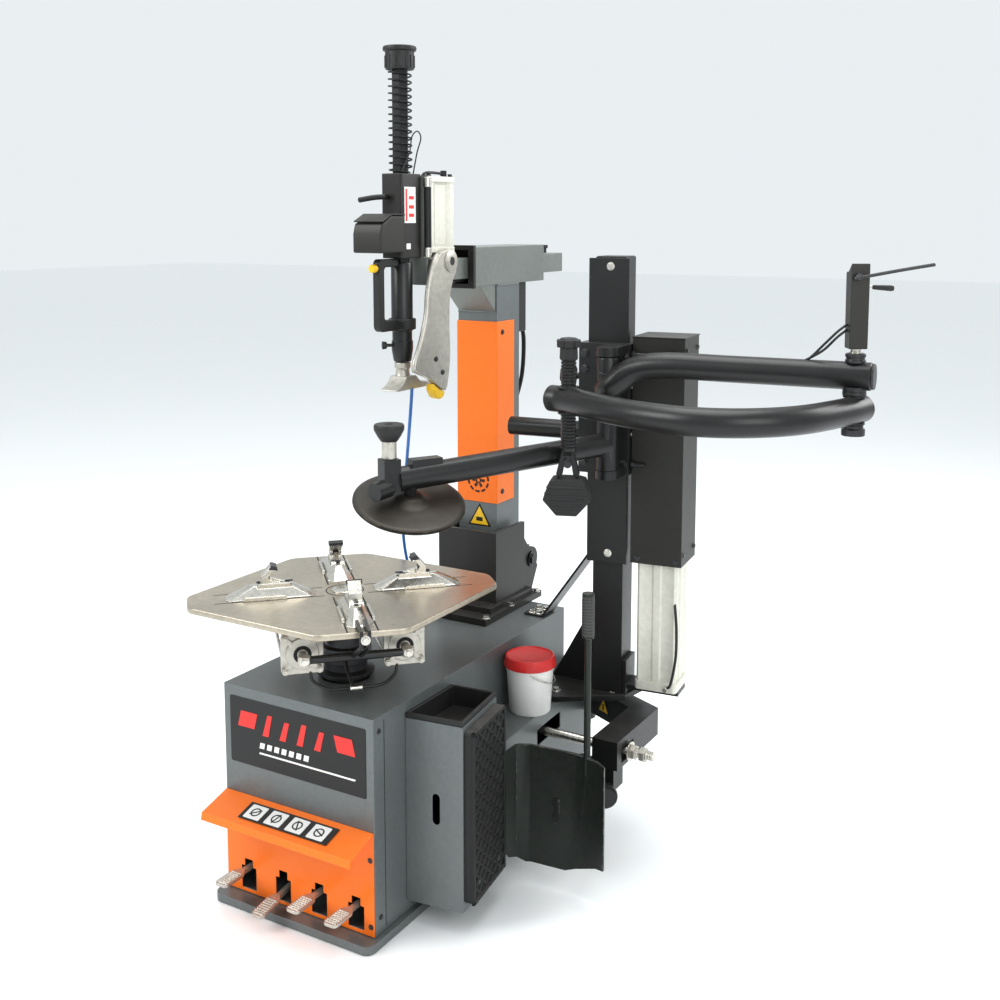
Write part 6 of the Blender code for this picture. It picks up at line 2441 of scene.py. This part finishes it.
    def disc(self) -> None:
        """The disc arm, its head, the double-rimmed disc and the cone roller."""
        self.shop.dress("disc_arm", BLACK, 0.0010, 40)
        tilt = Matrix.Translation(
            DISC_CENTRE
        ) @ Vector((0, 0, 1)).rotation_difference(DISC_NORMAL).to_matrix().to_4x4()
        dish = [
            (0, -0.007), (0.100, -0.0072), (0.118, -0.0068), (0.1255, -0.0055), (0.1280, -0.0025),
            (0.1245, -0.0002), (0.1245, 0.0002), (0.1275, 0.0022),
        ]
        dish += [
            (0.1240, 0.0050), (0.116, 0.0060), (0.090, 0.0068), (0.055, 0.0080), (0.040, 0.0110),
            (0.030, 0.0180), (0.024, 0.0215), (0, 0.0218),
        ]
        self.shop.add("rim_disc_plate", [turned(dish, tilt, 96)], DISC, "rim_disc", ["rim_disc"], sharp=50)
        nut = turned(
            [(0, -0.0150), (0.012, -0.0150), (0.014, -0.013), (0.014, -0.0068), (0, -0.0068)], tilt, 6,
        )
        self.shop.add("rim_disc_nut", [nut], STEEL, "rim_disc", edge=0.0006)
        cone = shift(0.16495, -0.04453, 1.06638)
        body = [(0, 0.0004), (0.0158, 0.0004), (0.0165, 0.002), (0.0165, 0.040), (0, 0.0405)]
        self.shop.add(
            "cone_roller_sleeve", [turned(body, cone, 40)], CAST, "cone_roller", ["cone_roller"], sharp=40,
        )
        head = [
            (0, 0.040), (0.0185, 0.040), (0.0200, 0.042), (0.0255, 0.050), (0.0265, 0.0515),
            (0.0335, 0.065), (0.0340, 0.068), (0.0340, 0.075), (0.0320, 0.078), (0.010, 0.078),
            (0.009, 0.0755), (0, 0.0755),
        ]
        self.shop.add("cone_roller_head", [turned(head, cone, 56)], PLASTIC, "cone_roller", sharp=40)


@dataclass
class Studio:
    """The pale floor, the soft lights and the camera."""

    shop: Workshop
    floor_size: float = 60.0
    floor_drop: float = 0.0015
    lens_mm: float = 43.83
    lens_shift: float = -0.135
    camera_at: Point = (1.7254, -2.2129, 1.5981)
    camera_dip: float = 6.9
    camera_turn: float = 30.46

    def build(self) -> None:
        """Builds the studio and makes its camera the scene's."""
        self.floor()
        self.world()
        for name, at, aim, size, power in (
            ("key_light", (-2.6, -3.4, 3.9), (0.1, 0.2, 0.8), 2.6, 150.0),
            ("fill_light", (4.2, -2.2, 2.6), (0.4, 0.2, 0.9), 2.6, 70.0),
            ("top_light", (0.3, 0.6, 4.6), (0.3, 0.3, 0.8), 3.0, 110.0),
            ("rim_light", (3.0, 3.6, 3.2), (0.4, 0.3, 1.1), 2.4, 90.0),
        ):
            self.light(name, at, aim, size, power)
        self.camera()

    def floor(self) -> None:
        """A plain pale floor with faint cloudiness."""
        mesh = bpy.data.meshes.new("studio_floor")
        half, z = self.floor_size / 2, -self.floor_drop
        corners = [(-half, -half, z), (half, -half, z), (half, half, z), (-half, half, z)]
        mesh.from_pydata(corners, [], [(0, 1, 2, 3)])
        made = bpy.data.materials.new("studio_floor_finish")
        made.use_nodes = True
        tree = made.node_tree
        shader = tree.nodes["Principled BSDF"]
        mottle = Finish.place(
            tree, self.shop.effects.mottle, {"Scale": 0.8, "Fine Scale": 7.0, "Contrast": 0.4},
        )
        tone = Finish.mix(tree, mottle.outputs["Value"], (0.90, 0.915, 0.92), (0.95, 0.96, 0.96))
        tree.links.new(tone, shader.inputs["Base Color"])
        spread = math_node(tree, "MULTIPLY", mottle.outputs["Value"], 0.2)
        tree.links.new(math_node(tree, "ADD", spread, 0.35), shader.inputs["Roughness"])
        mesh.materials.append(made)
        floor = bpy.data.objects.new("studio_floor", mesh)
        bpy.context.scene.collection.objects.link(floor)

    @staticmethod
    def world() -> None:
        """An even pale surround."""
        world = bpy.data.worlds.new("studio")
        world.use_nodes = True
        back = world.node_tree.nodes["Background"]
        back.inputs["Color"].default_value = (0.86, 0.90, 0.92, 1.0)
        back.inputs["Strength"].default_value = 0.98
        bpy.context.scene.world = world
        bpy.context.scene.view_settings.view_transform = "Standard"
        bpy.context.scene.view_settings.look = "None"
        bpy.context.scene.view_settings.gamma = 0.88

    @staticmethod
    def light(name: str, at: Point, aim: Point, size: float, power: float) -> None:
        """A large soft light that faces a point.

        Args:
            name: the light's name.
            at: where it hangs.
            aim: the point it faces.
            size: side of its square.
            power: watts.
        """
        lamp = bpy.data.lights.new(name, "AREA")
        lamp.shape = "SQUARE"
        lamp.size = size
        lamp.energy = power
        holder = bpy.data.objects.new(name, lamp)
        holder.location = at
        holder.rotation_euler = (Vector(aim) - Vector(at)).to_track_quat("-Z", "Y").to_euler()
        bpy.context.scene.collection.objects.link(holder)

    def camera(self) -> None:
        """The camera, level with the tool head and to the machine's right."""
        lens = bpy.data.cameras.new("camera")
        lens.lens = self.lens_mm
        lens.sensor_width = 36.0
        lens.shift_y = self.lens_shift
        lens.clip_start = 0.05
        lens.clip_end = 200.0
        holder = bpy.data.objects.new("camera", lens)
        holder.location = self.camera_at
        holder.rotation_euler = (math.radians(90 - self.camera_dip), 0.0, math.radians(self.camera_turn))
        bpy.context.scene.collection.objects.link(holder)
        bpy.context.scene.camera = holder


def main() -> None:
    """Builds the machine, sub-assembly by sub-assembly, and then the studio round it."""
    logging.basicConfig(level=logging.INFO, format="%(name)s: %(message)s")
    shop = Workshop()
    for assembly in (
        Cabinet(shop),
        AirHose(shop),
        Pedals(shop),
        Turntable(shop),
        Column(shop),
        ToolHead(shop),
        SideBox(shop),
        Breaker(shop),
        Tower(shop),
        HelperArms(shop),
        Studio(shop),
    ):
        assembly.build()
        LOG.info("%s is built", type(assembly).__name__)


if __name__ == "__main__":
    main()
